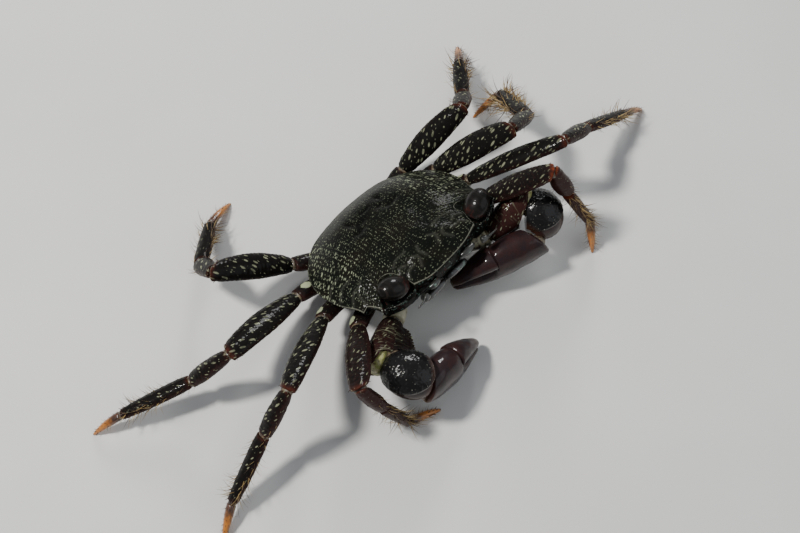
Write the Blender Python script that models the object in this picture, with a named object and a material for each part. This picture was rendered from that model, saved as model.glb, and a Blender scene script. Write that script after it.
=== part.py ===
"""Cliff crab, life size, standing still: solids for Blender 4.5, metres, +Z up, facing -Y."""
import math
import random

import bmesh
import bpy
import numpy as np
from mathutils import Matrix

MM = 0.001

# Body: a tilted frame with x to the crab's left, y to the rear and z out of its back (mm).
BODY_HEIGHT = 14.02
NOSE_UP_DEG = 20.68
LEAN_DEG = 1.41

# Carapace
CROWN_Z = 1.1
SHELL_CENTRE = (0.0, -1.0)
SHELL_FLOOR_Z = -6.8
SHELL_RINGS = 11
# Underside: share of the outline, drop below the rim, and more drop ahead of the rear legs.
WALL_LEVELS = ((0.975, -0.7, 0.0), (0.9, -1.4, -0.3), (0.72, -2.2, -0.8), (0.45, -2.7, -0.8),
               (0.2, -2.9, -0.8))
# Mouth frame under the front: its (y, z) section, and the section's share of full size by x.
FRAME_SECTION = ((-9.9, -6.2), (-12.5, -5.0), (-16.0, -4.6), (-16.3, -5.6), (-15.7, -6.7),
                 (-13.9, -8.4), (-12.2, -9.6), (-10.6, -9.3))
FRAME_STATIONS = ((0.0, 1.0), (3.0, 1.0), (6.2, 0.97), (8.4, 0.78), (10.2, 0.45))
FRAME_CENTRE = (-12.9, -5.6)
# Half outline from the front's middle to the rear's: x, y, rim height.
FRONT_EDGE = ((0.0, -17.1, -3.1), (3.6, -16.9, -3.0), (6.9, -15.9, -2.6))
ORBIT_EDGE = ((7.3, -13.4, -1.6), (8.2, -11.2, -0.8), (10.1, -10.3, -0.6), (12.3, -10.9, -1.1))
# The front and the eye reach farther on the left, as the photo shows them.
LEFT_REACH = 4.0
REACH_X = (-4.0, 12.0)
REACH_Y = (-7.8, 5.4)
REACH_TOOTH = (13.0, 5.0, 0.6)
TOOTH_EDGE = ((13.2, -12.6, -2.0), (14.7, -14.4, -2.8), (15.6, -12.2, -2.6))
SECOND_TOOTH = ((16.0, -11.4, -2.7), (17.3, -11.6, -3.1), (17.5, -9.9, -3.0))
SIDE_EDGE = ((18.6, -6.2, -3.2), (19.0, -2.0, -3.4), (18.3, 2.6, -3.8), (16.3, 6.8, -4.2),
             (12.9, 10.4, -4.6), (8.6, 12.9, -4.9), (0.0, 14.0, -5.0))
ORBIT_SHELF = ((7.7, -16.2, -3.4), (10.6, -15.6, -4.0), (12.6, -14.8, -3.9), (13.6, -14.3, -3.6))

# Low swellings and hollows of the back: x, y, radius, height.
RELIEF = ((0.0, -6.0, 5.0, 0.35), (2.9, -13.4, 1.7, 0.45), (7.6, -10.0, 2.1, 0.4),
          (11.0, -1.0, 4.6, 0.35), (0.0, 6.6, 3.2, 0.4), (3.7, 3.6, 1.5, -0.7),
          (6.2, -5.2, 1.6, -0.35), (0.0, -13.6, 0.8, -0.35), (9.0, 8.0, 4.0, 0.25))

# Breast plate and tail flap: half widths by share of length, and their lines (body frame).
BREAST_FRONT_Y = -10.1
BREAST_LENGTH = 20.9
BREAST_WIDTHS = ((0.0, 6.6), (0.1, 9.2), (0.2, 10.9), (0.4, 11.5), (0.62, 11.5), (0.8, 10.2),
                 (0.92, 7.6), (1.0, 6.0))
BREAST_LOW_Y = (-10.5, -8.0, 0.0, 11.0)
BREAST_LOW_Z = (-10.2, -11.3, -11.1, -9.0)
BREAST_TOP_Z = SHELL_FLOOR_Z - 0.65
BOXY = 0.6
FLAP_LINE = ((0, 13.5, -8.1), (0, 12.5, -9.2), (0, 9.5, -10.0), (0, 2.0, -11.75), (0, -5.5, -12.15))
FLAP_WIDTHS = ((0.0, 5.6), (0.2, 5.9), (0.5, 4.4), (0.8, 3.0), (1.0, 1.3))
FLAP_HALF_THICKNESS = 0.42

# Every two neighbouring nodes stand this far apart.
GAP = 0.3

# Walking legs: where each leaves the shell's edge (body frame), and the lengths of its four
# visible lengths: ischium with merus, carpus, propodus, dactyl.
LEG_BASE = {2: (16.6, -6.9, -7.9), 3: (18.2, 0.0, -7.6), 4: (17.0, 7.3, -7.4), 5: (12.8, 12.6, -7.7)}
LEG_ROOT = {2: (12.5, -6.0, -9.4), 3: (12.7, 0.0, -9.2), 4: (12.1, 5.8, -8.6), 5: (8.9, 10.3, -8.1)}
LEG_LENGTH = {2: (22.5, 8.9, 11.2, 7.6), 3: (27.05, 11.1, 15.4, 7.8),
              4: (25.5, 11.1, 15.7, 8.0), 5: (22.6, 9.0, 12.8, 8.1)}
MERUS_HALF_WIDTH = {2: 2.65, 3: 2.6, 4: 3.0, 5: 2.75}
# Compass bearing and climb of merus, carpus and propodus, then the dactyl's bearing (degrees).
# A bearing of 0 points to the crab's left, 90 to the rear, -90 to the front.
LEG_POSE = {
    "right_2": ((-134.2, 29.8), (-57.7, -65.5), (-43.3, -65.0), -20.6),
    "right_3": ((-153.3, 29.2), (179.2, -47.9), (-170.9, -34.5), -154.1),
    "right_4": ((-175.4, 23.2), (148.9, -40.2), (153.1, -13.6), 154.5),
    "right_5": ((154.8, 32.8), (78.0, -46.6), (39.8, -23.9), 14.2),
    "left_2": ((-51.8, 43.0), (-47.5, -69.0), (-65.2, -60.0), -127.8),
    "left_3": ((-41.5, 30.6), (5.4, -39.3), (-7.1, -33.1), -8.1),
    "left_4": ((-44.1, 42.8), (16.4, -42.3), (64.9, -37.3), 159.9),
    "left_5": ((-14.1, 35.1), (39.5, -42.2), (44.0, -21.7), 43.8)}
BROAD_FACE_LEAN_DEG = 24.0
# Legs whose broadest length turns its face differently, as seen in the photo.
MERUS_LEAN_DEG = {"right_4": 12.0, "right_5": -20.0, "left_2": 0.0, "left_4": -10.0, "left_5": -12.0}
ISCHIUM_SHARE = 0.17
FOOT_AXIS_Z = -0.08
KNEE_BOW = 0.9
# Lengths of a walking leg: name, (place, half width, half thickness) stations, rings, sides and
# squareness. The widths of the merus are shares of the leg's own.
LEG_SHAPES = (
    ("ischium", ((0.0, 1.5, 1.3), (0.3, 1.9, 1.6), (0.75, 2.0, 1.5), (1.0, 1.75, 1.25)), 7, 10, 2.0),
    ("merus", ((0.0, 0.54, 1.1), (0.12, 0.75, 1.35), (0.5, 1.0, 1.55), (0.85, 0.86, 1.5),
               (1.0, 0.66, 1.3)), 10, 12, 1.8),
    ("carpus", ((0.0, 1.35, 1.15), (0.2, 1.7, 1.4), (0.65, 2.1, 1.5), (1.0, 1.75, 1.25)), 8, 10, 2.0),
    ("propodus", ((0.0, 1.5, 1.1), (0.2, 1.75, 1.2), (0.6, 1.7, 1.15), (1.0, 1.25, 0.95)), 8, 10, 2.0),
    ("dactylus", ((0.0, 1.05, 0.85), (0.3, 0.95, 0.8), (0.75, 0.6, 0.55), (1.0, 0.26, 0.24)),
     8, 10, 2.0))

# Chelipeds (world frame, mm): root, merus start, elbow, middle of the domed carpus, wrist, tip.
CLAW_POSE = {
    "right": ((-9.3, -12.9, 7.6), (-12.9, -14.8, 8.2), (-21.9, -19.9, 12.3),
              (-20.1, -26.0, 12.4), (-19.6, -29.1, 10.8), (-3.7, -28.7, 2.4)),
    "left": ((9.9, -14.2, 7.7), (14.1, -16.7, 8.6), (22.8, -18.6, 12.9),
             (23.5, -22.5, 10.8), (19.5, -25.1, 9.2), (1.6, -17.6, 5.5))}
# Long way and half sizes of each carpus.
CARPUS_WAY = {"right": (0.45, -0.88, -0.15), "left": (-0.3, -0.8, -0.5)}
CARPUS_RADII = {"right": (5.8, 4.9, 4.3), "left": (5.4, 4.9, 4.3)}
CLAW_ISCHIUM = ((0.0, 1.9, 1.9), (0.4, 2.3, 2.2), (1.0, 2.2, 2.1))
CLAW_MERUS = ((0.0, 2.0, 2.1), (0.2, 2.7, 2.7), (0.7, 3.4, 3.3), (1.0, 3.1, 2.9))
MERUS_FRONT = (0.0, -1.0, 0.35)
# Direction in which each claw merus spreads its toothed blade.
BLADE_WAY = {"right": (0.8, -0.55, -0.2), "left": (-0.2, -0.85, -0.45)}
# How far the blade stands off the arm at its two ends.
BLADE_REACH = {"right": (1.4, 4.0), "left": (-0.2, 2.4)}
BLADE_TEETH = 6
BLADE_PROFILE = ((0.0, 1.5, 0.5), (0.35, 2.4, 0.75), (0.8, 2.8, 0.8), (1.0, 1.9, 0.6))
TOOTH_HEIGHT = 0.6
TOOTH_RADIUS = 0.3
PALM_SHARE = 0.53
PALM_HALF_HEIGHT = 4.1
PALM_HALF_THICKNESS = 3.3
PALM_LEAN_DEG = 12.0
# Shares of those two along the palm: place, thickness, height; the height at the wrist is per side.
PALM_SHAPE = ((0.3, 1.0, 0.96), (0.75, 1.0, 1.0), (1.0, 0.9, 0.9))
PALM_START = {"right": (0.0, 0.84, 0.66), "left": (0.0, 0.92, 0.85)}
FINGER_PROFILE = ((0.0, 2.6, 2.0), (0.3, 2.4, 1.75), (0.75, 1.6, 1.05), (1.0, 0.85, 0.5))

# Eyes, antennae and mouth (body frame)
EYE_CENTRE = (10.3, -13.7, -1.3)
EYE_RADII = (3.4, 2.6, 2.25)
STALK_ROOT = (7.6, -14.2, -2.5)
MAXILLIPED_LINE = ((3.15, -16.6, -7.6), (3.05, -14.6, -9.75), (2.9, -12.2, -11.2))
MAXILLIPED_PROFILE = ((0.0, 2.6, 0.6), (0.2, 2.95, 0.85), (0.6, 2.8, 0.9), (1.0, 2.0, 0.6))
ANTENNA_LINE = ((5.9, -17.6, -5.4), (7.4, -18.2, -5.6), (9.8, -18.5, -5.2))
ANTENNA_PROFILE = ((0.0, 0.85, 0.75), (0.35, 0.7, 0.6), (0.5, 0.36, 0.34), (1.0, 0.2, 0.2))

# Spines: rings along the limb that carry them, sides of the limb, height, root radius, lean to
# the tip. A side is a share of a turn from the limb's leading edge.
SPINES = {
    "dactylus": (((1, 3, 5), 0.0, 0.75, 0.2, 0.7), ((2, 4), 0.5, 0.75, 0.2, 0.7),
                 ((2, 4), 0.75, 0.7, 0.2, 0.7)),
    "propodus": (((6,), 0.0, 1.0, 0.22, 0.9), ((6,), 0.5, 1.0, 0.22, 0.9), ((2, 4), 0.12, 1.7, 0.2, 0.9),
                 ((3, 5), 0.4, 1.7, 0.2, 0.9)),
    "carpus": (((3, 5), 0.1, 1.6, 0.21, 0.8), ((4,), 0.42, 1.5, 0.21, 0.8)),
    "merus": (((8,), 0.5, 0.8, 0.3, 0.9), ((8,), 0.0, 0.7, 0.3, 0.9)),
    "ischium": ()}
SPINE_SINK = 0.35
SPINE_SIDES = 4
SEED = 11

COLOURS = {"shell": (0.018, 0.022, 0.016), "limb": (0.03, 0.022, 0.016), "claw": (0.05, 0.022, 0.02),
           "foot": (0.42, 0.17, 0.04), "belly": (0.42, 0.38, 0.24), "eye": (0.02, 0.013, 0.01),
           "mouth": (0.12, 0.1, 0.07)}


def clear_scene():
    """Remove every object of the starting scene."""
    for item in list(bpy.data.objects):
        bpy.data.objects.remove(item, do_unlink=True)


def unit(vector):
    """Return a vector's direction."""
    array = np.asarray(vector, float)
    return array / np.linalg.norm(array)


def body_matrix():
    """Turn from the body frame to the world."""
    pitch = Matrix.Rotation(-math.radians(NOSE_UP_DEG), 3, "X")
    lean = Matrix.Rotation(math.radians(LEAN_DEG), 3, "Y")
    return np.array(pitch @ lean)


BODY_TURN = body_matrix()


def to_world(points):
    """Body frame points to world points, both in mm."""
    return np.asarray(points, float) @ BODY_TURN.T + np.array((0.0, 0.0, BODY_HEIGHT))


def bearing(angle, climb):
    """Unit vector from a compass bearing and a climb in degrees."""
    angle, climb = math.radians(angle), math.radians(climb)
    return np.array((math.cos(angle) * math.cos(climb), math.sin(angle) * math.cos(climb),
                     math.sin(climb)))


def material(kind):
    """One Principled finish for each kind of surface."""
    found = bpy.data.materials.get(kind)
    if found:
        return found
    made = bpy.data.materials.new(kind)
    made.use_nodes = True
    shader = made.node_tree.nodes["Principled BSDF"]
    shader.inputs["Base Color"].default_value = (*COLOURS[kind], 1.0)
    shader.inputs["Roughness"].default_value = 0.12 if kind == "eye" else 0.3
    return made


def add_node(name, points, faces, kind):
    """Make a named object from points in world mm."""
    mesh = bpy.data.meshes.new(name)
    mesh.from_pydata([tuple(p * MM) for p in np.asarray(points, float)], [], faces)
    work = bmesh.new()
    work.from_mesh(mesh)
    bmesh.ops.recalc_face_normals(work, faces=work.faces)
    if work.calc_volume(signed=True) < 0:
        bmesh.ops.reverse_faces(work, faces=work.faces)
    work.to_mesh(mesh)
    work.free()
    mesh.materials.append(material(kind))
    made = bpy.data.objects.new(name, mesh)
    bpy.context.scene.collection.objects.link(made)
    return made


def ring_faces(rings, sides):
    """Quads between closed rings, and one polygon over each end."""
    faces = [list(reversed(range(sides)))]
    for ring in range(rings - 1):
        low, high = ring * sides, (ring + 1) * sides
        for side in range(sides):
            after = (side + 1) % sides
            faces.append([low + side, low + after, high + after, high + side])
    faces.append(list(range((rings - 1) * sides, rings * sides)))
    return faces


def ease(stations, place):
    """Smooth value at a place from (place, value...) stations."""
    places = [s[0] for s in stations]
    index = int(np.clip(np.searchsorted(places, place) - 1, 0, len(places) - 2))
    low, high = stations[index], stations[index + 1]
    share = (place - low[0]) / (high[0] - low[0])
    if index == 0:
        share = math.sin(share * math.pi / 2)
    elif index == len(places) - 2:
        share = 1 - math.cos(share * math.pi / 2)
    else:
        share = share * share * (3 - 2 * share)
    return np.array(low[1:]) + share * (np.array(high[1:]) - np.array(low[1:]))


def tube_points(path, profile, up, ends, rings, sides, power=2.0):
    """Rings along a bent path. Each end lies in its own cutting plane, half a gap short."""
    start, bend, end = (np.asarray(p, float) for p in path)
    first, last = unit(bend - start), unit(end - bend)
    normals = [first if ends[0] is None else unit(ends[0]),
               last if ends[1] is None else unit(ends[1])]
    start = start + first * (GAP / 2) / max(0.3, normals[0] @ first)
    end = end - last * (GAP / 2) / max(0.3, normals[1] @ last)
    out = []
    for ring in range(rings):
        t = ring / (rings - 1)
        place = 0.5 - 0.5 * math.cos(math.pi * t) if rings > 5 else t
        centre = (1 - place) ** 2 * start + 2 * place * (1 - place) * bend + place ** 2 * end
        tangent = unit((1 - place) * (bend - start) + place * (end - bend))
        across = unit(np.cross(tangent, up))
        lift = np.cross(across, tangent)
        wide, thick = ease(profile, place)[:2]
        blend = (max(0.0, 1 - place * 2.4) ** 1.5, max(0.0, 1 - (1 - place) * 2.4) ** 1.5)
        for side in range(sides):
            angle = 2 * math.pi * side / sides
            cosine, sine = math.cos(angle), math.sin(angle)
            x = wide * math.copysign(abs(cosine) ** (2 / power), cosine)
            y = thick * math.copysign(abs(sine) ** (2 / power), sine)
            offset = x * across + y * lift
            slide = sum(b * -(offset @ n) / max(0.35, tangent @ n) for b, n in zip(blend, normals))
            out.append(centre + offset + slide * tangent)
    return np.array(out)


def tube(name, path, profile, up, kind, ends=(None, None), rings=9, sides=12, power=2.0):
    """One closed limb length."""
    points = tube_points(path, profile, up, ends, rings, sides, power)
    return add_node(name, points, ring_faces(rings, sides), kind)


def spiny_tube(name, path, profile, up, kind, ends, rings, sides, power, rows, rng):
    """One closed limb length with its spines."""
    grid = tube_points(path, profile, up, ends, rings, sides, power)
    made = add_node(name, grid, ring_faces(rings, sides), kind)
    add_spines(made, grid, sides, rows, rng)
    return made


def spine_solid(points, faces, root, way, height, radius):
    """Add one tapered spine to a list of points and faces."""
    way = unit(way)
    across = unit(np.cross(way, (0.31, 0.87, 0.39)))
    other = np.cross(way, across)
    first = len(points)
    for level, size in ((-SPINE_SINK, 1.0), (height * 0.5, 0.62)):
        for side in range(SPINE_SIDES):
            angle = 2 * math.pi * side / SPINE_SIDES
            offset = (across * math.cos(angle) + other * math.sin(angle)) * radius * size
            points.append(root + way * level + offset)
    points.append(root + way * height)
    count = SPINE_SIDES
    faces.append(list(reversed(range(first, first + count))))
    for side in range(count):
        after = (side + 1) % count
        faces.append([first + side, first + after, first + count + after, first + count + side])
        faces.append([first + count + side, first + count + after, first + 2 * count])


def add_spines(target, grid, sides, rows, rng):
    """Fuse rows of spines, rooted on a limb's rings, with the limb."""
    points, faces = [], []
    for rings, turn, height, radius, lean in rows:
        for ring in rings:
            side = int(round(turn * sides)) % sides
            spot = grid[ring * sides + side]
            centre = grid[ring * sides:(ring + 1) * sides].mean(axis=0)
            ahead = unit(grid[min(ring + 1, len(grid) // sides - 1) * sides + side] - spot)
            way = unit(spot - centre) + lean * ahead
            spine_solid(points, faces, spot, way, height * rng.uniform(0.85, 1.15), radius)
    if points:
        apply_boolean(target, add_node("spines", points, faces, "foot"), "UNION")


def straight(start, end):
    """A straight path's three points."""
    start, end = np.asarray(start, float), np.asarray(end, float)
    return start, (start + end) / 2, end


def apply_boolean(target, tool, operation):
    """Apply one Boolean, falling back to the manifold solver, and drop the tool."""
    for solver in ("EXACT", "MANIFOLD"):
        saved = target.data.copy()
        step = target.modifiers.new("cut", "BOOLEAN")
        step.operation, step.solver, step.object = operation, solver, tool
        graph = bpy.context.evaluated_depsgraph_get()
        result = bpy.data.meshes.new_from_object(target.evaluated_get(graph))
        target.modifiers.remove(step)
        if len(result.polygons) > 4 and is_closed(result):
            target.data = result
            break
        target.data = saved
    bpy.data.objects.remove(tool, do_unlink=True)
    keep_largest(target)


def is_closed(mesh):
    """True where every edge has two faces."""
    work = bmesh.new()
    work.from_mesh(mesh)
    closed = all(len(edge.link_faces) == 2 for edge in work.edges)
    work.free()
    return closed


def keep_largest(target):
    """Keep only the largest closed surface of a node."""
    work = bmesh.new()
    work.from_mesh(target.data)
    work.faces.ensure_lookup_table()
    seen, groups = set(), []
    for face in work.faces:
        if face.index in seen:
            continue
        group, queue = [], [face]
        seen.add(face.index)
        while queue:
            now = queue.pop()
            group.append(now)
            for edge in now.edges:
                for near in edge.link_faces:
                    if near.index not in seen:
                        seen.add(near.index)
                        queue.append(near)
        groups.append(group)
    groups.sort(key=len, reverse=True)
    for group in groups[1:]:
        bmesh.ops.delete(work, geom=group, context="FACES")
    work.to_mesh(target.data)
    work.free()


def flatten_foot(target):
    """Cut a foot level with the floor and close it with a flat."""
    work = bmesh.new()
    work.from_mesh(target.data)
    geometry = work.verts[:] + work.edges[:] + work.faces[:]
    cut = bmesh.ops.bisect_plane(work, geom=geometry, plane_co=(0, 0, 0), plane_no=(0, 0, 1),
                                 clear_inner=True)
    rim = [item for item in cut["geom_cut"] if isinstance(item, bmesh.types.BMEdge)]
    if rim:
        bmesh.ops.contextual_create(work, geom=rim)
    for vertex in work.verts:
        if abs(vertex.co.z) < 1e-7:
            vertex.co.z = 0.0
    bmesh.ops.recalc_face_normals(work, faces=work.faces)
    work.to_mesh(target.data)
    work.free()


def curve_through(points, steps):
    """Catmull-Rom points through stations, ends included."""
    stations = [np.array(p, float) for p in points]
    stations = [2 * stations[0] - stations[1], *stations, 2 * stations[-1] - stations[-2]]
    out = []
    for index in range(1, len(stations) - 2):
        a, b, c, d = stations[index - 1:index + 3]
        for step in range(steps):
            t = step / steps
            out.append(0.5 * (2 * b + (c - a) * t + (2 * a - 5 * b + 4 * c - d) * t * t
                              + (3 * b - a - 3 * c + d) * t ** 3))
    out.append(stations[-2])
    return out


def grow_over(value, span):
    """Rise smoothly from 0 to 1 over a span given by its start and its length."""
    share = np.clip((value - span[0]) / span[1], 0.0, 1.0)
    return share * share * (3 - 2 * share)


def left_reach(points):
    """Body-frame points with the left front quarter of the shell drawn outward."""
    out = np.array(points, float)
    across = grow_over(out[..., 0], REACH_X)
    ahead = grow_over(-out[..., 1], (-REACH_Y[0], REACH_Y[1]))
    end = 1 - REACH_TOOTH[2] * grow_over(out[..., 0], REACH_TOOTH[:2])
    out[..., 0] += LEFT_REACH * across * ahead * end
    return out


def half_outline(orbit):
    """Half of the shell's outline, from the front's middle to the rear's."""
    side = curve_through((SECOND_TOOTH[-1], *SIDE_EDGE), 2)
    side[-1][0] = 0.0
    return [np.array(p, float) for p in (*FRONT_EDGE, *orbit, *TOOTH_EDGE[-2:], *SECOND_TOOTH[:-1])] + side


def full_outline(orbit):
    """Closed outline, left half then right half back to the front."""
    half = half_outline(orbit)
    mirrored = [p * np.array((-1, 1, 1)) for p in half[-2:0:-1]]
    return np.array(half + mirrored)


def relief(x, y):
    """Height of the low swellings of the back."""
    total = 0.0
    for centre_x, centre_y, radius, height in RELIEF:
        for sign in ((1, -1) if centre_x else (1,)):
            distance = ((x - sign * centre_x) ** 2 + (y - centre_y) ** 2) / radius ** 2
            total += height * math.exp(-distance)
    return total


def shell_points():
    """Rings of the shell from its crown over the rim to the closed floor."""
    rim = full_outline((*ORBIT_EDGE, TOOTH_EDGE[0]))
    shelf = full_outline((ORBIT_SHELF[0], ORBIT_SHELF[0], *ORBIT_SHELF[1:]))
    assert len(rim) == len(shelf)
    centre = np.array(SHELL_CENTRE)
    out, count = [np.array((*SHELL_CENTRE, CROWN_Z + relief(*SHELL_CENTRE)))], len(rim)
    for ring in range(1, SHELL_RINGS):
        share = math.sin(ring / (SHELL_RINGS - 1) * math.pi / 2)
        for x, y, z in rim:
            steep = 3.2 if y < -8 else 3.0 - 0.05 * max(0.0, y)
            px, py = centre + share * (np.array((x, y)) - centre)
            height = CROWN_Z + (z - CROWN_Z) * share ** steep
            out.append(np.array((px, py, height + relief(px, py) * (1 - share ** 6))))
    for scale, drop, more in WALL_LEVELS:
        for x, y, z in shelf:
            front = max(0.0, min(1.0, (-y - 9) / 5))
            drop_here = drop + more * max(0.0, min(1.0, (8.0 - y) / 6))
            level = scale + (1 - scale) * (0.72 if scale > 0.6 else 0.35) * front
            px, py = centre + level * (np.array((x, y)) - centre)
            floor = z + drop_here + 0.35 * drop_here * front
            out.append(np.array((px, py, max(floor, SHELL_FLOOR_Z - 0.25 * front))))
    out.append(np.array((*SHELL_CENTRE, SHELL_FLOOR_Z)))
    return np.array(out), count


def shell():
    """The carapace, with an orbit cut clear of each eye."""
    points, count = shell_points()
    rings = (len(points) - 2) // count
    faces = [[0, 1 + (side + 1) % count, 1 + side] for side in range(count)]
    for ring in range(rings - 1):
        low, high = 1 + ring * count, 1 + (ring + 1) * count
        for side in range(count):
            after = (side + 1) % count
            faces.append([low + side, low + after, high + after, high + side])
    last = 1 + (rings - 1) * count
    end = len(points) - 1
    faces += [[last + side, last + (side + 1) % count, end] for side in range(count)]
    made = add_node("carapace", to_world(left_reach(points)), faces, "shell")
    apply_boolean(made, mouth_frame(), "UNION")
    for sign in (1, -1):
        apply_boolean(made, eye_solid("orbit", sign, GAP), "DIFFERENCE")
    return made


def mouth_frame():
    """The wall that the shell folds down in front, on which the mouth plates lie."""
    stations = [(-x, share) for x, share in FRAME_STATIONS[:0:-1]] + list(FRAME_STATIONS)
    centre = np.array(FRAME_CENTRE)
    points = []
    for x, share in stations:
        for spot in FRAME_SECTION:
            y, z = centre + share * (np.array(spot) - centre)
            points.append((x, y, z))
    return add_node("mouth_frame", to_world(points), ring_faces(len(stations), len(FRAME_SECTION)),
                    "shell")


def eye_solid(name, sign, grow=0.0):
    """Stalk and cornea as one closed form."""
    flip = np.array((sign, 1, 1))
    root, centre = left_reach(np.array(STALK_ROOT) * flip), left_reach(np.array(EYE_CENTRE) * flip)
    along = unit(centre - root)
    radii = np.array(EYE_RADII) + grow
    rings, sides = 10, 14
    start, end = root - along * grow, centre + along * radii[0]
    across = unit(np.cross(along, (0, 0, 1)))
    lift = np.cross(across, along)
    points = []
    for ring in range(rings):
        t = ring / (rings - 1)
        place = start + (end - start) * (1 - (1 - t) ** 1.6)
        reach = (place - centre) @ along / radii[0]
        ball = math.sqrt(max(0.012, 1 - reach * reach)) if abs(reach) < 1 else 0.11
        size = max(ball, 0.5 if t < 0.45 else 0.0)
        for side in range(sides):
            angle = 2 * math.pi * side / sides
            offset = across * math.cos(angle) * radii[1] + lift * math.sin(angle) * radii[2]
            points.append(place + offset * size)
    return add_node(name, to_world(points), ring_faces(rings, sides), "eye")


def underside():
    """Breast plate and tail flap."""
    rings, sides = 12, 16
    points = []
    for ring in range(rings):
        t = ring / (rings - 1)
        y = BREAST_FRONT_Y + BREAST_LENGTH * t
        wide = float(ease(BREAST_WIDTHS, t)[0])
        low = float(np.interp(y, BREAST_LOW_Y, BREAST_LOW_Z))
        middle, half = (BREAST_TOP_Z + low) / 2, (BREAST_TOP_Z - low) / 2
        for side in range(sides):
            angle = 2 * math.pi * side / sides
            cosine, sine = math.cos(angle), math.sin(angle)
            points.append((wide * math.copysign(abs(cosine) ** BOXY, cosine), y,
                           middle + half * math.copysign(abs(sine) ** BOXY, sine)))
    add_node("breast_plate", to_world(points), ring_faces(rings, sides), "belly")
    line = curve_through(FLAP_LINE, 4)
    points, sides = [], 10
    for index, centre in enumerate(line):
        t = index / (len(line) - 1)
        ahead = unit(line[min(index + 1, len(line) - 1)] - line[max(index - 1, 0)])
        lift = np.cross(ahead, (1, 0, 0))
        wide = float(ease(FLAP_WIDTHS, t)[0])
        thick = FLAP_HALF_THICKNESS * (0.6 if index in (0, len(line) - 1) else 1.0)
        for side in range(sides):
            angle = 2 * math.pi * side / sides
            points.append(centre + np.array((1, 0, 0)) * wide * math.cos(angle)
                          + lift * thick * math.sin(angle))
    add_node("tail_flap", to_world(points), ring_faces(len(line), sides), "belly")


def face_parts(side_name, sign):
    """Mouth plate, antenna and eye of one side."""
    flip = np.array((sign, 1, 1))
    forward = BODY_TURN @ np.array((0.0, -1.0, -0.2))
    tube(f"maxilliped_{side_name}", to_world(np.array(MAXILLIPED_LINE) * flip), MAXILLIPED_PROFILE,
         forward, "mouth", rings=8, power=2.6)
    tube(f"antenna_{side_name}", to_world(left_reach(np.array(ANTENNA_LINE) * flip)), ANTENNA_PROFILE, forward,
         "mouth", rings=8, sides=8)
    eye_solid(f"eye_{side_name}", sign)


def leg_reference(direction, lean_deg=BROAD_FACE_LEAN_DEG):
    """Outward direction of a leg's broad face: up, leaning to the rear."""
    lean = math.radians(lean_deg)
    wanted = np.array((0.0, math.sin(lean), math.cos(lean)))
    return unit(wanted - (wanted @ direction) * direction)


def leg(name, number, sign, rng):
    """One walking leg of five named lengths, its foot cut flat on the floor."""
    flip = np.array((sign, 1, 1))
    pose = LEG_POSE[name]
    lengths = LEG_LENGTH[number]
    base = to_world(np.array(LEG_BASE[number]) * flip)
    root = to_world(np.array(LEG_ROOT[number]) * flip)
    joints = [base]
    for (angle, climb), length in zip(pose[:3], lengths[:3]):
        joints.append(joints[-1] + length * bearing(angle, climb))
    fall = joints[-1][2] - FOOT_AXIS_Z
    dive = -math.degrees(math.asin(min(0.95, fall / lengths[3])))
    joints.append(joints[-1] + lengths[3] * bearing(pose[3], dive))
    hip = joints[0] + ISCHIUM_SHARE * (joints[1] - joints[0])
    points = [root, hip, *joints[1:]]
    ways = [unit(b - a) for a, b in zip(points, points[1:])]
    cuts = [None, *(unit(a + b) for a, b in zip(ways, ways[1:])), None]
    for index, (part, profile, rings, sides, power) in enumerate(LEG_SHAPES):
        start, end = points[index], points[index + 1]
        path = list(straight(start, end))
        up = leg_reference(ways[index])
        if part == "ischium":
            path[1] = joints[0] + (path[1] - joints[0]) * 0.35
            cuts[1] = unit(unit(end - path[1]) + ways[1])
        if part == "merus":
            path[1] = path[1] + up * KNEE_BOW
            up = leg_reference(ways[index], MERUS_LEAN_DEG.get(name, BROAD_FACE_LEAN_DEG))
            profile = [(place, share * MERUS_HALF_WIDTH[number], thick) for place, share, thick in profile]
        if part == "dactylus":
            path[1] = path[1] + np.array((0, 0, KNEE_BOW))
        kind = "foot" if part == "dactylus" else "limb"
        made = spiny_tube(f"{part}_{name}", path, profile, up, kind, (cuts[index], cuts[index + 1]),
                          rings, sides, power, SPINES[part], rng)
        if part == "dactylus":
            flatten_foot(made)


def finger(name, start, end, up, rise):
    """One finger of a claw, curved towards its partner's tip."""
    path = list(straight(start, end))
    path[1] = path[1] + up * rise
    return tube(name, path, FINGER_PROFILE, up, "claw", rings=8, sides=10)


def claw_blade(merus, hip, elbow, way, reach, cut):
    """Fuse the toothed blade of a claw merus with it."""
    start, end = hip + 0.15 * (elbow - hip) + way * reach[0], elbow + way * reach[1]
    normal = unit(np.cross(elbow - hip, way))
    rings, sides = 8, 10
    grid = tube_points(straight(start, end), BLADE_PROFILE, normal, (None, cut), rings, sides)
    blade = add_node("blade", grid, ring_faces(rings, sides), "limb")
    apply_boolean(merus, blade, "UNION")
    points, faces = [], []
    for tooth in range(BLADE_TEETH):
        ring = 1 + tooth
        spots = grid[ring * sides:(ring + 1) * sides]
        spot = spots[int(np.argmax(spots @ way))]
        spine_solid(points, faces, spot, way, TOOTH_HEIGHT, TOOTH_RADIUS)
    apply_boolean(merus, add_node("teeth", points, faces, "limb"), "UNION")


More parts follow.
